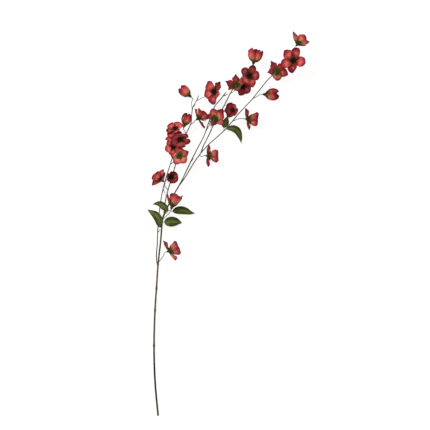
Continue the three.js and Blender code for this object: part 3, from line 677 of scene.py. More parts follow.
BLOSSOMS = {
    "main_stem": [
        blossom("lower_blossom_1", (172, 207, 43), 72, 0, 18, (36, 22, 24, 25, 22), -46, (163.2, 219.6),
                [(167.8, 214.6, 27)], length=36, tone=0.75, curled=(0,)),
        blossom("lower_blossom_2", (169, 251, 27.4), 20, -24, 54, (46, 46, 70, 55, 96), -22, (158.4, 263),
                [(163, 256.4, 20)], length=27, tone=0.85, curled=(4,), full=1.4),
    ],
    "left_branch": [
        blossom("left_blossom_1", (173.6, 146.6, 13.4), 190, 58, -10, OPEN, -16, (172.8, 156),
                [(174.6, 151, 8)], length=21, tone=0.8),
        blossom("left_blossom_2", (179.5, 155.6, 62), -40, -62, -47, OPEN, -16, (170.6, 162.6),
                [(172.5, 159, 61)], length=22, stamens=False, tone=0.7),
        blossom("left_blossom_3", (162, 180, 16), 135, 26, 0, (72, 62, 60, 60, 56), -20, (163.4, 187),
                length=26, tone=0.65, curled=(2,), full=1.4),
    ],
    "middle_branch": [
        blossom("middle_blossom_1", (215, 92, 44), 180, 50, 0, (80, 66, 98, 78, 84), -16, (196.4, 100.6),
                [(204, 97, 24), (213, 95, 26)], length=29, tone=0.6, curled=(2,), full=1.25),
        blossom("middle_blossom_2", (189.4, 95.2, 12), 138, 10, 20, BUD, BUD_BOW, (192, 110),
                [(191.6, 102.4, 20)], length=33, stamens=False, tone=0.7),
        blossom("middle_blossom_3", (198.2, 118.6, 38), 35, -12, 40, (62, 45, 100, 60, 75), -18,
                (190.6, 124.2), [(193.6, 122.6, 34)], length=26, tone=0.6, curled=(2,), full=1.35),
        blossom("middle_blossom_4", (184.6, 125.2, 36), 70, 12, 30, (8, 10, 7, 9, 10), BUD_BOW,
                (186, 134), [(184, 130, 30)], length=34, stamens=False, tone=0.6),
        blossom("middle_blossom_5", (175.3, 129, 25), 110, 42, 18, OPEN, -16, (182.9, 141.8),
                [(178, 131.5, 18)], length=21, tone=0.65),
        blossom("middle_blossom_6", (175.5, 139.3, 38), 100, 40, 18, OPEN, -16, (181.6, 146),
                [(180.8, 144.2, 27)], length=24, tone=0.95),
        blossom("middle_blossom_7", (180.2, 138.8, 71), -80, 42, -20, OPEN, -14, (186.2, 133.4),
                [(187, 135.4, 50)], length=26, tone=0.65),
        blossom("middle_blossom_8", (171, 177.2, 34), -10, 68, 30, (50, 54, 48, 52, 50), -36,
                (168, 190), [(164.2, 184, 27)], length=19, tone=0.25, full=1.3),
    ],
    "outer_branch": [
        blossom("outer_blossom_1", (297.4, 44.4, 42), 50, -22, 18, (62, 42, 46, 50, 52), -44,
                (294.4, 49.5), length=28, tone=0.8),
        blossom("outer_blossom_2", (293.6, 61, 60), 170, 65, 14, OPEN, -14, (288.5, 60), length=32,
                tone=0.45),
        blossom("outer_blossom_3", (276.3, 71.8, 42), 50, -62, 19, OPEN, -14, (262.5, 86.4),
                [(269.5, 78.5, 47)], stamens=False, tone=0.6, curled=(0, 1, 4)),
        blossom("outer_blossom_4", (265.4, 94.2, 12), -3, 8, 40, BUD, BUD_BOW, (252.3, 99.1),
                [(258, 95.8, 24)], length=38, stamens=False, tone=0.65),
        blossom("outer_blossom_5", (247.5, 119, 28), -4, -24, 54, (46, 46, 74, 60, 102), -20,
                (232.3, 121.2), [(240, 118.6, 30)], tone=0.6, curled=(2, 4), full=1.4),
        blossom("outer_blossom_6", (208, 155.7, 27), 0, -24, 54, (44, 44, 90, 70, 86), -22,
                (199.6, 154.8), [(201.2, 156.6, 28)], length=26, tone=0.75, curled=(2, 4), full=1.45),
    ],
    "inner_branch": [
        blossom("inner_blossom_1", (214.6, 119.4, 54), 60, -56, 50, OPEN, -16, (205.4, 132),
                [(209.6, 125.5, 54)], length=24, stamens=False, tone=0.75, curled=(3, 4)),
        blossom("inner_blossom_2", (220.8, 116, 41), 95, -8, 30, (16, 18, 17, 16, 18), -90,
                (213, 110.5), [(217.5, 120.5, 34)], length=18, stamens=False, tone=0.2),
    ],
    "centre_branch": [
        blossom("centre_blossom_1", (253.6, 62.4, 38), 78, 10, 54, (23, 22, 24, 21, 22), -104,
                (251.5, 68), length=38, tone=0.9, full=0.98),
        blossom("centre_blossom_2", (248.5, 76.3, 66), -5, 62, -10, OPEN, -16, (244.5, 74), tone=0.6),
        blossom("centre_blossom_3", (242.6, 86, 22), -60, 52, 3, (70, 76, 72, 66, 70), -18, (237, 83.4),
                length=22, tone=0.2),
        blossom("centre_blossom_4", (235.8, 86, 52), 115, -50, 45, (70, 66, 70, 66, 64), -22,
                (230.2, 93.4), [(234, 91.4, 50)], length=26, stamens=False, tone=0.85, curled=(0, 1, 4)),
        blossom("centre_blossom_5", (233.2, 111, 54), 160, 66, 12, (52, 56, 48, 54, 50), -34,
                (220.5, 111.4), length=21, tone=0.2, full=1.2),
    ],
}
# Each blossom draws from a seed of its own, by its place in the list
FIRST_SEED = 12
SHAPES = [shape for group in BLOSSOMS.values() for shape in group]
for seed, shape in enumerate(SHAPES, FIRST_SEED):
    shape["seed"] = seed
print("blossoms:", len(SHAPES))

# %% [markdown]
# ## A blossom's own directions
#
# A blossom is easiest to draw upright at the origin, in millimetres, with its axis along Z. One matrix
# then scales it to metres, turns it the way it faces and moves it to its throat.

# %% The matrix of a blossom
def blossom_matrix(shape):
    """Takes a blossom that is drawn upright in millimetres to its place on the branch in metres"""
    turn, lift = math.radians(shape["azimuth"]), math.radians(shape["tilt"])
    axis = Vector((math.cos(turn) * math.cos(lift), math.sin(turn) * math.cos(lift), math.sin(lift)))
    side = Vector((-math.sin(turn), math.cos(turn), 0))
    front = axis.cross(side)
    turned = Matrix((side, front, axis)).transposed().to_4x4()
    return Matrix.Translation(place(*shape["throat"])) @ turned @ Matrix.Scale(MM, 4)


def seeded_draw(seed):
    """A repeatable draw from 0 to 1, the same on every run"""
    state = seed
    while True:
        state = state * 16807 % 2147483647
        yield state / 2147483647


print("first draws:", [round(next(seeded_draw(seed)), 3) for seed in (12, 13, 14)])

# %% [markdown]
# ## The line of a petal
#
# Seen from the side, a petal leaves the throat along an arc: it starts more open than its mean opening
# and bends inwards towards its tip. Seen from the front, it is rolled round the blossom's axis as a piece
# of a cone is, so closed petals wrap a bud and open ones are nearly flat. Its outline starts as a narrow
# claw and is widest past the middle. Edges lie over or under those of the next petal, and they wave more
# the wider the blossom is open.

# %% Shape of one petal
# Where a petal leaves the throat, in millimetres from the axis and along it
ROOT_REACH, ROOT_RISE = 2.2, 0.9
# The widest roll in millimetres, and two values that keep the roll in bounds at the throat and when flat
WIDEST_ROLL = 16
LEAST_REACH, LEAST_COSINE = 0.5, 0.05
# The height of a petal's waves in millimetres, and how fast they run along it and across it
WAVE, WAVE_ALONG, WAVE_ACROSS = 1.1, 9, 2
# How fast an overlap sets in as the petal gets wider
LAP_GROWTH = 3
# The runs where a petal is widest and where its forms have fully set in, and the claw's share of width
WIDEST = 0.6
SET_IN = 0.3
CLAW = 0.26
# How fast the claw widens, and how flat the arc of the tip is
CLAW_POWER, TIP_FLATNESS = 1.5, 2


def petal_spot(petal, run, across, share, off=0.0):
    """A point of a petal in millimetres, before it is turned to its place round the axis"""
    start = petal["open"] - petal["bow"] / 2
    lean = start + petal["bow"] * run
    reach = ROOT_REACH + petal["length"] * (math.cos(start) - math.cos(lean)) / petal["bow"]
    rise = ROOT_RISE + petal["length"] * (math.sin(lean) - math.sin(start)) / petal["bow"]
    roll = min(WIDEST_ROLL, max(reach, LEAST_REACH) / max(math.cos(lean), LEAST_COSINE))
    curl = across * petal["half_width"] * share / roll
    openness = min(1.0, petal["open"] / math.radians(OPEN[0]))
    swing = math.sin(WAVE_ALONG * run + WAVE_ACROSS * across + petal["phase"])
    wave = WAVE * openness**2 * share * across**2 * swing
    side = petal["lap_after"] if across > 0 else petal["lap_before"]
    lap = petal["lap"] * side * abs(across) * max(0.0, min(1.0, run / SET_IN, LAP_GROWTH * share))
    lift = roll * (1 - math.cos(curl)) + wave * run - lap
    inwards = lift + off * math.cos(curl)
    return Vector((reach - inwards * math.cos(lean), (roll - off) * math.sin(curl),
                   rise + inwards * math.sin(lean)))


def petal_share(run):
    """Half the width of a petal at a run, as a share of its widest"""
    if run < WIDEST:
        return 1 - (1 - CLAW) * (1 - max(run, 0.0) / WIDEST) ** CLAW_POWER
    return math.sqrt(1 - ((run - WIDEST) / (1 - WIDEST)) ** 2 / TIP_FLATNESS)


print("shares of a petal's width:", [round(petal_share(run), 2) for run in (0, 0.25, 0.5, 0.75, 1)])

# %% [markdown]
# ## No two petals alike
#
# Handwork shows in the petals: each is turned, bent and cut a little differently. Long petals are cut
# wider, but not in full proportion, and those of a bud are narrow. Where two petals meet, the more open
# one lies outside the other.

# %% The five petals of a blossom
PETAL_COUNT = 5
HALF_WIDTH = 12.4
FIXED_WIDTH, GROWING_WIDTH = 0.4, 0.6
BUD_FULLNESS = 0.64
# Openings in degrees: a bud is below the first, a blossom is half open below the second
CLOSED_BELOW, HALF_OPEN_BELOW = 20, 40
# How far edges lie over each other in millimetres: widely in blossoms below an opening, and elsewhere
LAP_OPENING, WIDE_LAP, NARROW_LAP = 60, 1.8, 1.2
# How much turn, bow, length and fullness differ from petal to petal
TURN_DRAW, BOW_DRAW, LENGTH_DRAW, FULLNESS_DRAW = 6, 6, 0.1, 0.08


def is_closed(shape):
    """Whether a blossom is still a bud"""
    return shape["openings"][0] < CLOSED_BELOW


def petals_of(shape):
    """The five petals of a blossom, each a little different"""
    draw = seeded_draw(shape["seed"])
    lap = WIDE_LAP if shape["openings"][0] < LAP_OPENING else NARROW_LAP
    widening = FIXED_WIDTH + GROWING_WIDTH * shape["length"] / USUAL_LENGTH
    petals = []
    for index in range(PETAL_COUNT):
        angle = math.radians(shape["roll"] + index * 360 / PETAL_COUNT + TURN_DRAW * (next(draw) - 0.5))
        bow = math.radians(shape["bow"] + BOW_DRAW * (next(draw) - 0.5))
        length = shape["length"] * (1 + LENGTH_DRAW * (next(draw) - 0.5))
        fullness = BUD_FULLNESS if is_closed(shape) else shape["full"] + FULLNESS_DRAW * (next(draw) - 0.5)
        petals.append({
            "angle": angle, "open": math.radians(shape["openings"][index]), "bow": bow, "length": length,
            "half_width": HALF_WIDTH * widening * fullness, "lap": lap, "phase": 2 * math.pi * next(draw),
        })
    for petal, after in zip(petals, [*petals[1:], petals[0]]):
        petal["lap_after"] = 1 if petal["open"] >= after["open"] else -1
        after["lap_before"] = -petal["lap_after"]
    return petals


first_petals = petals_of(SHAPES[0])
print("lengths of the first blossom's petals:", [round(petal["length"], 1) for petal in first_petals])

# %% [markdown]
# ## What only the cloth has
#
# Cloth does more than a rigid blade. Its edges ripple and its middle is creased, some petals are pinched
# along their tips, some tips roll in and others out, and some end in a small point. The petals that the
# list calls curled are pinched nearly shut, narrow and deep in colour, as on blossoms seen from the
# side. In a bud, a second row of petals is rolled up inside the first one and fills its mouth.

# %% Forms of the cloth
FORM_SEEDS = 400
TONE_DRAW = 0.5
BUD_RUFFLE = 0.25
PINCH_DRAW, PINCH_SPARED = 1.3, 0.8
CURL_DRAW, CURL_MIDDLE = 5, 0.35
POINT_DRAW = 0.14
HALF_OPEN_CURL = -1.5
CURLED = {"pinch": 1.2, "width": 0.8, "deeper": 0.6}
HEART = {"turn": 0.63, "length": 0.97, "bow": 1.14, "width": 0.85, "dye": 0.4, "ruffle": 0.2, "point": 0.05}
HEART_DEPTH = 3.2


def give_forms(shape, petals):
    """Gives each petal of a blossom its own dye, ruffle, pinch, curl and point"""
    draw = seeded_draw(shape["seed"] + FORM_SEEDS)
    closed = is_closed(shape)
    for index, petal in enumerate(petals):
        petal["dye"] = shape["tone"] + TONE_DRAW * (next(draw) - 0.5)
        petal["ruffle"] = BUD_RUFFLE if closed else 1.0
        petal["pinch"] = 0.0 if closed else max(0.0, PINCH_DRAW * next(draw) - PINCH_SPARED)
        petal["curl"] = 0.0 if closed else CURL_DRAW * (next(draw) - CURL_MIDDLE)
        petal["point"] = POINT_DRAW * next(draw)
        if not closed and shape["openings"][1] < HALF_OPEN_BELOW:
            petal["curl"], petal["pinch"] = HALF_OPEN_CURL, 0.0
        if index in shape["curled"]:
            petal["pinch"] = CURLED["pinch"]
            petal["half_width"] *= CURLED["width"]
            petal["dye"] -= CURLED["deeper"]
    return petals


def heart_of(shape):
    """The rolled petals inside a bud"""
    return [
        dict(petal, angle=petal["angle"] + HEART["turn"], length=petal["length"] * HEART["length"],
             bow=petal["bow"] * HEART["bow"], half_width=petal["half_width"] * HEART["width"],
             dye=shape["tone"] * HEART["dye"], ruffle=HEART["ruffle"], pinch=0.0, curl=0.0,
             point=HEART["point"])
        for petal in petals_of(shape)
    ]


dyes = [petal["dye"] for shape in SHAPES for petal in give_forms(shape, petals_of(shape))]
print("strength of dye from", round(min(dyes), 2), "to", round(max(dyes), 2))

# %% [markdown]
# ## Cloth petals
#
# Each petal is a small grid whose corners are moved onto the petal. Before that, each corner's place in
# the grid is kept as the petal's map, and the strength of dye and the blossom's axis are kept on its
# corners, all for the cloth's colours. The tip is rounded by drawing its corners back, more at the sides
# than in the middle. The five petals of a blossom are one mesh. Where a petal would reach below the
# surface that the branch lies on, it is bent up softly, as cloth is on a table.

# %% Make the petals of a blossom
PETAL_COLUMNS, PETAL_ROWS = 8, 12
CLOTH_THICKNESS = 0.42
# Heights in millimetres: ripples along the sides and over the tip, and the crease down the middle
SIDE_RIPPLE, TIP_RIPPLE, CREASE = 0.45, 0.4, 0.5
# How fast the ripples run along and across, and how much they are shifted from petal to petal
SIDE_ALONG, SIDE_ACROSS, SIDE_SHIFT = 19, 7, 2
TIP_ACROSS, TIP_SHIFT = 6, 3
CREASE_WIDTH, CREASE_END = 0.16, 1.15
PINCH_POWER, PINCH_LIFT, PINCH_NARROWING, MOST_PINCH = 1.5, 5, 0.45, 1.2
# How far above the surface the lowest cloth stays and how softly it is bent up, in millimetres, and
# below how many times that softness the bend is worked out
REST_CLEARANCE, REST_SOFTNESS, REST_REACH = 0.25, 0.5, 8


def cloth_spot(petal, run, across, depth):
    """A point of a petal's cloth in millimetres, with its ripples, crease, pinch and curl"""
    beyond = max(0.0, (run - WIDEST) / (1 - WIDEST))
    rounded = run - (1 - WIDEST) * beyond * (1 - math.sqrt(1 - across**2 / TIP_FLATNESS))
    rounded += petal["point"] * (1 - abs(across)) ** 2 * beyond**2
    side_swing = math.sin(SIDE_ALONG * run + SIDE_ACROSS * across + SIDE_SHIFT * petal["phase"])
    tip_swing = math.sin(TIP_ACROSS * across + TIP_SHIFT * petal["phase"])
    ripple = SIDE_RIPPLE * abs(across) ** 3 * side_swing + TIP_RIPPLE * beyond**2 * tip_swing
    crease = CREASE * math.exp(-(across / CREASE_WIDTH) ** 2)
    crease *= math.sin(math.pi * min(1.0, run * CREASE_END))
    pinch = petal["pinch"] * beyond**PINCH_POWER
    off = depth + (ripple * petal["ruffle"] - crease) * min(1.0, run / SET_IN)
    off += petal["curl"] * beyond**2 + PINCH_LIFT * pinch * abs(across)
    share = petal_share(run) * (1 - PINCH_NARROWING * min(MOST_PINCH, pinch))
    return petal_spot(petal, rounded, across, share, off)


def add_petal(mesh, petal, axis, depth=0.0):
    """Adds one petal to a blossom's mesh, with its map, its dye and its blossom's axis"""
    uv = mesh.loops.layers.uv["petal"]
    dye = mesh.verts.layers.float["dye"]
    axes = mesh.verts.layers.float_vector["axis"]
    corners = bmesh.ops.create_grid(mesh, x_segments=PETAL_COLUMNS, y_segments=PETAL_ROWS, size=1)["verts"]
    for face in {face for corner in corners for face in corner.link_faces}:
        for loop in face.loops:
            loop[uv].uv = ((loop.vert.co.x + 1) / 2, (loop.vert.co.y + 1) / 2)
    turn = Matrix.Rotation(petal["angle"], 3, "Z")
    for corner in corners:
        corner[dye] = petal["dye"]
        corner[axes] = axis
        corner.co = turn @ cloth_spot(petal, (corner.co.y + 1) / 2, corner.co.x, depth)


def rest_on_surface(mesh):
    """Bends what would reach below the surface up, as cloth does where it lies on a table"""
    clear, softness = REST_CLEARANCE * MM, REST_SOFTNESS * MM
    for corner in mesh.verts:
        if corner.co.z < REST_REACH * softness:
            corner.co.z = clear + softness * math.log1p(math.exp((corner.co.z - clear) / softness))


def make_petals(shape):
    """The corolla of one blossom, with a rolled heart inside a bud"""
    mesh = bmesh.new()
    mesh.loops.layers.uv.new("petal")
    mesh.verts.layers.float.new("dye")
    mesh.verts.layers.float_vector.new("axis")
    axis = blossom_matrix(shape).to_3x3() @ Vector((0, 0, 1 / MM))
    for petal in give_forms(shape, petals_of(shape)):
        add_petal(mesh, petal, axis)
    if is_closed(shape):
        for petal in heart_of(shape):
            add_petal(mesh, petal, axis, HEART_DEPTH)
    bmesh.ops.transform(mesh, matrix=blossom_matrix(shape), verts=mesh.verts)
    rest_on_surface(mesh)
    piece = finish_piece(shape["name"] + "_petals", mesh, PETAL_CLOTH, shape["name"])
    give_thickness(piece, CLOTH_THICKNESS)
    return piece


corollas = [make_petals(shape) for shape in SHAPES]
print("corollas:", len(corollas), "faces in the first:", len(corollas[0].data.polygons))

# %% [markdown]
# ## Green cups with sepals
#
# Under each blossom sits a cup with five pointed sepals that lie along the backs of the petals. The cup
# is a lathe shape: half its outline is drawn once and spun round the axis, and its floor goes up through
# the middle of the petals, where it holds them. The sepals are small grids, moved onto the petals'
# backs like the petals themselves, a little outside them, and given a thickness. Their tips stand off
# more than their roots, and their middle lies closer than their edges.

# %% Make the cup of a blossom
CUP_LENGTH = 7.5
CUP_OUTLINE = [(0, -CUP_LENGTH), (1.15, -CUP_LENGTH), (1.4, -6.6), (2.3, -5), (3.4, -3.3), (4.3, -1.6),
               (4.2, -0.7), (3.0, -0.3), (2.0, 0.8), (1.7, 2.0), (0, 2.3)]
CUP_STEPS = 20
FLUTE_DEPTH = 0.05
SEPAL_COLUMNS, SEPAL_ROWS = 4, 7
# A sepal starts a little inside the petal's root and covers this share of its run
SEPAL_START, SEPAL_RUN = -0.03, 0.4
SEPAL_HALF_WIDTH = 6.2
# Its width at the root and how it grows, as shares, and how late it narrows to its point
SEPAL_ROOT, SEPAL_GROWTH, SEPAL_POWER = 0.55, 0.9, 1.6
SEPAL_THICKNESS = 0.5
SEPAL_GAP, SEPAL_TIP_LIFT, SEPAL_KEEL = 0.35, 1.1, 0.2
# Corners closer than this in millimetres are joined
CUP_WELD, SEPAL_WELD = 0.01, 0.02


def spin_cup(mesh):
    """Spins the cup's outline and gives it five shallow flutes"""
    corners = [mesh.verts.new((reach, 0, rise)) for reach, rise in CUP_OUTLINE]
    edges = [mesh.edges.new(pair) for pair in zip(corners, corners[1:])]
    bmesh.ops.spin(mesh, geom=[*corners, *edges], cent=(0, 0, 0), axis=(0, 0, 1), angle=2 * math.pi,
                   steps=CUP_STEPS, use_merge=True)
    bmesh.ops.remove_doubles(mesh, verts=mesh.verts, dist=CUP_WELD)
    for corner in mesh.verts:
        swell = 1 + FLUTE_DEPTH * math.cos(PETAL_COUNT * math.atan2(corner.co.y, corner.co.x))
        corner.co.x *= swell
        corner.co.y *= swell


def add_sepal(mesh, petal):
    """Adds the sepal that lies along the back of one petal"""
    corners = bmesh.ops.create_grid(mesh, x_segments=SEPAL_COLUMNS, y_segments=SEPAL_ROWS, size=1)["verts"]
    faces = list(dict.fromkeys(face for corner in corners for face in corner.link_faces))
    turn = Matrix.Rotation(petal["angle"], 3, "Z")
    for corner in corners:
        across, along = corner.co.x, (corner.co.y + 1) / 2
        run = SEPAL_RUN * along + SEPAL_START
        half = SEPAL_HALF_WIDTH * (1 - along**SEPAL_POWER) * (SEPAL_ROOT + SEPAL_GROWTH * along)
        clear = (CLOTH_THICKNESS + SEPAL_THICKNESS) / 2 + SEPAL_GAP
        clear += SEPAL_TIP_LIFT * along**3 - SEPAL_KEEL * (1 - abs(across))
        spot = petal_spot(petal, max(run, 0.0), 0.0, 1.0, -clear)
        spot.x += min(run, 0.0) * petal["length"]
        spot.y += across * half
        corner.co = turn @ spot
    bmesh.ops.remove_doubles(mesh, verts=corners, dist=SEPAL_WELD)
    bmesh.ops.solidify(mesh, geom=[face for face in faces if face.is_valid], thickness=SEPAL_THICKNESS)


def make_cup(shape, node):
    """The green cup and sepals of one blossom"""
    mesh = bmesh.new()
    spin_cup(mesh)
    for petal in petals_of(shape):
        add_sepal(mesh, petal)
    bmesh.ops.transform(mesh, matrix=blossom_matrix(shape), verts=mesh.verts)
    return finish_piece(shape["name"] + "_cup", mesh, CUP, node)


cups = [make_cup(shape, node) for node, group in BLOSSOMS.items() for shape in group]
print("cups:", len(cups), "faces in the first:", len(cups[0].data.polygons))

# %% [markdown]
# ## Stamens
#
# The throat of an open blossom holds a dark tuft of short threads and a few long ones that stand out
# past the petals and curl a little. Each thread is a thin ring pulled along a curved line, with a head
# at its end. The heads are small spheres with few faces, because there are hundreds of them. Small
# blossoms have shorter threads, and half open ones hold them closer together.

# %% Make the stamens of a blossom
THREAD_SEEDS = 900
THREAD_SIDES = 4
THREAD_FOOT = 1.2
THREAD_CIRCLE = 1.5
# Where a thread's line has its places, how late it bends outwards, and how long its head is
THREAD_SHARES = (0, 0.35, 0.7, 1.0)
THREAD_BEND = 1.4
HEAD_STRETCH = 1.6
SIZE_POWER = 1.6
FULL_ROOM_OPENING = 45
# Millimetres and degrees, with a least value and a draw for the spread and the length. The tuft's turn
# is the one that seeds follow in a flower head, so that no threads line up
TUFT = {"count": 44, "turn": 2.39996, "spread": (4, 50), "length": (5, 4), "radius": 0.34, "head": 0.75}
WHISKERS = {"count": 9, "turn": 2 * math.pi / 9, "spread": (14, 40), "length": (13, 9), "radius": 0.24,
            "head": 0.5}


def add_thread(mesh, angle, spread, length, radius, head):
    """Adds one thread with its head, drawn upright in millimetres"""
    outwards = Vector((math.cos(angle), math.sin(angle), 0))
    line = []
    for share in THREAD_SHARES:
        reach = THREAD_CIRCLE + length * math.sin(spread) * share**THREAD_BEND
        line.append(outwards * reach + Vector((0, 0, THREAD_FOOT + length * math.cos(spread) * share)))
    pull_ring(mesh, [point * MM for point in line], lambda travelled: radius, THREAD_SIDES)
    stretched = Matrix.Diagonal((head * MM, head * MM, HEAD_STRETCH * head * MM, 1))
    tip = Matrix.Translation(line[-1] * MM) @ stretched
    bmesh.ops.create_icosphere(mesh, subdivisions=1, radius=1, matrix=tip)


def make_stamens(shape):
    """The tuft and the whiskers in the throat of one blossom"""
    mesh = bmesh.new()
    draw = seeded_draw(shape["seed"] + THREAD_SEEDS)
    size = (shape["length"] / USUAL_LENGTH) ** SIZE_POWER
    room = min(1.0, shape["openings"][1] / FULL_ROOM_OPENING)
    for threads in (TUFT, WHISKERS):
        for index in range(threads["count"]):
            angle = index * threads["turn"] + next(draw)
            spread = math.radians(threads["spread"][0] + threads["spread"][1] * next(draw)) * room
            length = size * (threads["length"][0] + threads["length"][1] * next(draw))
            add_thread(mesh, angle, spread, length, threads["radius"], threads["head"])
    bmesh.ops.transform(mesh, matrix=blossom_matrix(shape) @ Matrix.Scale(1 / MM, 4), verts=mesh.verts)
    return finish_piece(shape["name"] + "_threads", mesh, THREAD, shape["name"] + "_stamens")


tufts = [make_stamens(shape) for shape in SHAPES if shape["stamens"]]
print("tufts:", len(tufts), "faces in the first:", len(tufts[0].data.polygons))

# %% [markdown]
# ## Stems and stalks
#
# The main stem is thickest at its cut end and has joints where the mould's parts meet. Branches thin out
# towards their tips. Each blossom has a stalk that flares where it leaves its stem and meets the foot of
# its cup. A few short side shoots end in a closed bud scale. A slow noise moves the surface in and out by
# a tenth of a millimetre, so that a stem's outline isn't drawn with a ruler.

# %% Thickness of stems, stalks and shoots
# Radius in millimetres and number of sides
SECTIONS = {"main": (2.3, 14), "trunk": (1.9, 12)}
BRANCH_SECTION = (1.4, 10)
FOOT_SHARE, TAPER = 1.05, 0.17
KNOT_SWELL, KNOT_LENGTH = 0.3, 3.5
TIP_SHARE, TIP_LENGTH = 0.45, 4
STALK_RADIUS = 0.85
STALK_FLARE, FLARE_LENGTH = 0.75, 2.5
SHOOT_NECK, SCALE_SWELL, SCALE_LENGTH, SHOOT_POINT, SHOOT_END = 0.75, 0.35, 9, 0.35, 12
STEM_KNOTS = [(153.8, 346), (154.8, 310.7), (156.3, 288.3)]


def knot_distances(route):
    """How far up the main stem its joints are, in millimetres"""
    marks = [nearest_on(["main"], *spot) for spot in STEM_KNOTS]
    return [route_length(route[:route.index(mark) + 1]) / MM for mark in marks]


def stem_thickness(name):
    """The radius of a stem in millimetres at each distance from its foot"""
    radius = SECTIONS.get(name, BRANCH_SECTION)[0]
    total = route_length(FINE[name]) / MM
    knots = knot_distances(FINE["main"]) if name == "main" else []

    def at(travelled):
        share = travelled / total
        swell = sum(KNOT_SWELL * math.exp(-((travelled - knot) / KNOT_LENGTH) ** 2) for knot in knots)
        ending = 1.0 if name in SECTIONS else min(1.0, TIP_SHARE + (total - travelled) / TIP_LENGTH)
        return radius * (FOOT_SHARE - TAPER * share + swell) * ending

    return at


def stalk_thickness(travelled):
    """The radius of a stalk in millimetres: it flares at its foot"""
    return STALK_RADIUS * (1 + STALK_FLARE * math.exp(-travelled / FLARE_LENGTH))


def shoot_thickness(travelled):
    """The radius of a side shoot in millimetres: a thin neck, then a bud scale that comes to a point"""
    if travelled >= SHOOT_END:
        return SHOOT_POINT
    return SHOOT_NECK + SCALE_SWELL * math.sin(min(travelled / SCALE_LENGTH, 1.0) * math.pi)


print("main stem's joints in mm from the cut end:", [round(far) for far in knot_distances(FINE["main"])])

# %% [markdown]
# ## One mesh for each stem
#
# A stem, the stalks that leave it and its side shoots are moulded in one, so they share a mesh. Each
# tube starts inside the stem that carries it. A stalk enters its cup along the blossom's axis, so its
# last two places lie on that axis, one before the cup and one inside its foot.

# %% Make the stems with their stalks
STEMS = {
    "main_stem": ["main", "trunk"], "left_branch": ["left"], "middle_branch": ["middle"],
    "outer_branch": ["outer"], "inner_branch": ["inner"], "centre_branch": ["centre"],
}
# Short side shoots: the foot on the stem that they leave, and their tip
SHOOTS = {
    "inner_branch": [((223.3, 96.4), (229.7, 93.2, 32)), ((190.4, 162.3), (193.4, 158.6, 26)),
                     ((208.9, 121.8), (211.4, 127.6, 26))],
    "left_branch": [((157.6, 232.6), (160.1, 229.6, 13)), ((163.2, 188.4), (165.5, 195.4, 16)),
                    ((170, 164.8), (174.3, 161.4, 20))],
    "middle_branch": [((192.8, 107.5), (195.6, 104.4, 29))],
}
STALK_LEAD, STALK_INSIDE = 4, 1
STEM_STEP, STALK_STEP, SHOOT_STEP = 4.5, 3, 2
STALK_SIDES, SHOOT_SIDES = 8, 7
SHOOT_ARCH = 1.5
# The slow noise: its height in millimetres, and its scale as a count to the millimetre
UNEVENNESS, UNEVEN_PER_MM = 0.12, 0.35


def add_stalk(mesh, shape, names):
    """Adds the stalk of one blossom, from its stem into its cup"""
    matrix = blossom_matrix(shape)
    lead = matrix @ Vector((0, 0, -CUP_LENGTH - STALK_LEAD))
    foot = matrix @ Vector((0, 0, STALK_INSIDE - CUP_LENGTH))
    places = [nearest_on(names, *shape["foot"]), *[place(*spot) for spot in shape["via"]], lead, foot]
    pull_ring(mesh, route_through(places, STALK_STEP), stalk_thickness, STALK_SIDES)


def add_shoot(mesh, start, tip):
    """Adds one side shoot, arched between its foot and its tip"""
    bent = start.lerp(tip, 0.5) + Vector((0, 0, SHOOT_ARCH * MM))
    pull_ring(mesh, route_through([start, bent, tip], SHOOT_STEP), shoot_thickness, SHOOT_SIDES)


def make_stem(node, names):
    """One stem node: its tubes, the stalks of its blossoms and its side shoots"""
    mesh = bmesh.new()
    for name in names:
        sides = SECTIONS.get(name, BRANCH_SECTION)[1]
        route = route_through([place(*spot) for spot in ROUTES[name]], STEM_STEP)
        pull_ring(mesh, route, stem_thickness(name), sides)
    for shape in BLOSSOMS[node]:
        add_stalk(mesh, shape, names)
    for foot, tip in SHOOTS.get(node, []):
        add_shoot(mesh, nearest_on(names, *foot), place(*tip))
    mesh.normal_update()
    for corner in mesh.verts:
        corner.co += corner.normal * UNEVENNESS * MM * noise.noise(corner.co * (UNEVEN_PER_MM / MM))
    material, slot = (BARK, "bark") if node == "main_stem" else (TWIG, "twig")
    return finish_piece(node + "_bark", mesh, material, node)


stems = [make_stem(node, names) for node, names in STEMS.items()]
print("stems:", len(stems), "faces in the first:", len(stems[0].data.polygons))

# %% [markdown]
# ## Leaves
#
# A leaf blade is a grid that is moved onto its midrib: each row lies square to the rib and is folded up
# a little on both sides, and the edges wave. The stalk and the midrib are one tapering line, pulled along
# the same route, so that the blade hangs on it as on the real leaf.

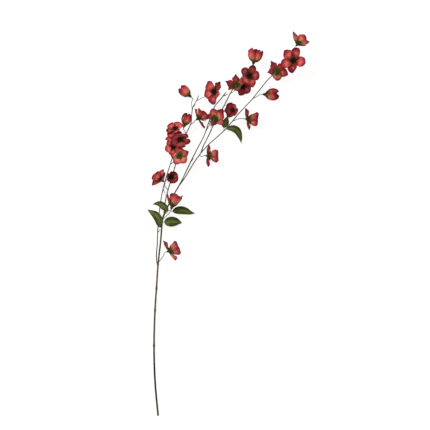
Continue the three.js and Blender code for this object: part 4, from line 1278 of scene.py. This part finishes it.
# %% Make the leaves
LEAVES = [
    {"name": "leaf_1", "seats": ["main", "trunk"], "foot": (164, 214.4), "half_width": 9, "turn": 12,
     "rib": [(167.5, 211.6, 25), (165, 207.6, 27), (160.6, 204, 24), (156, 203.6, 18), (152.2, 204.5, 11)]},
    {"name": "leaf_2", "seats": ["main"], "foot": (161.9, 226), "half_width": 11, "turn": -14,
     "rib": [(159.7, 227.3, 19.5), (158.6, 220.4, 22), (155.4, 215.2, 20), (151, 211.9, 12),
             (146.9, 209.4, 2)]},
    {"name": "leaf_3", "seats": ["trunk"], "foot": (166, 210), "half_width": 10.5, "turn": 8,
     "rib": [(172.4, 211.2, 19), (179, 210.4, 22), (184.6, 210.8, 20), (190, 212.6, 12), (195.2, 213.4, 2)]},
    {"name": "leaf_4", "seats": ["main"], "foot": (162.3, 222.4), "half_width": 13, "turn": 0,
     "rib": [(164.2, 222, 20), (169, 221.8, 22), (174.4, 221.6, 18), (178.6, 222.2, 10),
             (182.1, 223.2, 1.5)]},
    {"name": "leaf_5", "seats": ["outer"], "foot": (225.3, 129.5), "half_width": 9.5, "turn": 10,
     "rib": [(227, 129, 36), (231.6, 128.4, 38), (236.6, 130.4, 32), (240, 136.4, 18), (241.5, 143.5, 4)]},
    {"name": "leaf_6", "seats": ["outer"], "foot": (224, 130.7), "half_width": 9.5, "turn": -16,
     "rib": [(224, 128, 35), (224.6, 124.6, 35.5), (226, 121, 35.5), (227, 118, 34.5), (227.6, 115.4, 33)]},
]
FIRST_LEAF_SEED = FIRST_SEED + len(SHAPES)
LEAF_COLUMNS, LEAF_ROWS = 12, 26
LEAF_THICKNESS = 0.45
# Both halves are folded up by a share of their width, wave by a smaller one, and ripple in millimetres
FOLD, LEAF_WAVE, LEAF_RIPPLE = 0.3, 0.09, 0.3
# How fast the waves run along and across, how fast the ripples run along, and their shift
LEAF_ALONG, LEAF_ACROSS, RIPPLE_ALONG, RIPPLE_SHIFT = 11, 2, 34, 3
# The outline: its width at the root, how early it is widest, and how much it falls off to the tip
LEAF_ROOT, LEAF_POWER, LEAF_FALL = 0.12, 0.72, 0.25
LEAF_WELD = 0.02
RIB_FOOT_RADIUS, RIB_TAPER, RIB_SIDES = 0.95, 0.7, 7
RIB_SHARES = (0, 0.3, 0.6, 0.9)


def leaf_share(run):
    """Half the width of a leaf at a run, as a share of its widest"""
    if run >= 1:
        return 0.0
    return (LEAF_ROOT * (1 - run) + math.sin(math.pi * run**LEAF_POWER)) * (1 - LEAF_FALL * run)


def leaf_spot(leaf, rib, run, across, phase):
    """A point of a leaf blade in metres"""
    point, along = point_at(rib, run)
    flat = along.cross(Vector((0, 0, 1))).normalized()
    square = flat.cross(along)
    turn = math.radians(leaf["turn"])
    sideways = flat * math.cos(turn) + square * math.sin(turn)
    normal = sideways.cross(along)
    half = leaf["half_width"] * leaf_share(run)
    fold = FOLD * abs(across) * half
    wave = LEAF_WAVE * half * across**2 * math.sin(LEAF_ALONG * run + LEAF_ACROSS * across + phase)
    ripple = LEAF_RIPPLE * abs(across) ** 3 * math.sin(RIPPLE_ALONG * run + RIPPLE_SHIFT * phase)
    return point + (sideways * across * half + normal * (fold + wave + ripple)) * MM


def make_blade(leaf, rib, phase):
    """The blade of one leaf, with its map"""
    mesh = bmesh.new()
    uv = mesh.loops.layers.uv.new("leaf")
    bmesh.ops.create_grid(mesh, x_segments=LEAF_COLUMNS, y_segments=LEAF_ROWS, size=1)
    for face in mesh.faces:
        for loop in face.loops:
            loop[uv].uv = ((loop.vert.co.x + 1) / 2, (loop.vert.co.y + 1) / 2)
    for corner in mesh.verts:
        corner.co = leaf_spot(leaf, rib, (corner.co.y + 1) / 2, corner.co.x, phase)
    bmesh.ops.remove_doubles(mesh, verts=mesh.verts, dist=LEAF_WELD * MM)
    blade = finish_piece(leaf["name"] + "_blade", mesh, LEAF_CLOTH, leaf["name"])
    give_thickness(blade, LEAF_THICKNESS)
    return blade


def make_rib(leaf, rib):
    """The stalk of one leaf, which goes on as its midrib"""
    mesh = bmesh.new()
    along_rib = [point_at(rib, share)[0] for share in RIB_SHARES]
    route = route_through([nearest_on(leaf["seats"], *leaf["foot"]), *along_rib], STALK_STEP)
    total = route_length(route) / MM
    pull_ring(mesh, route, lambda travelled: RIB_FOOT_RADIUS - RIB_TAPER * travelled / total, RIB_SIDES)
    finish_piece(leaf["name"] + "_rib", mesh, TWIG, leaf["name"])


def make_leaf(leaf, seed):
    """One leaf: its blade, and its stalk with the midrib"""
    phase = 2 * math.pi * next(seeded_draw(seed))
    rib = route_through([place(*spot) for spot in leaf["rib"]], FINE_STEP)
    blade = make_blade(leaf, rib, phase)
    make_rib(leaf, rib)
    return blade


leaves = [make_leaf(leaf, seed) for seed, leaf in enumerate(LEAVES, FIRST_LEAF_SEED)]
print("leaves:", len(leaves), "faces in the first:", len(leaves[0].data.polygons))
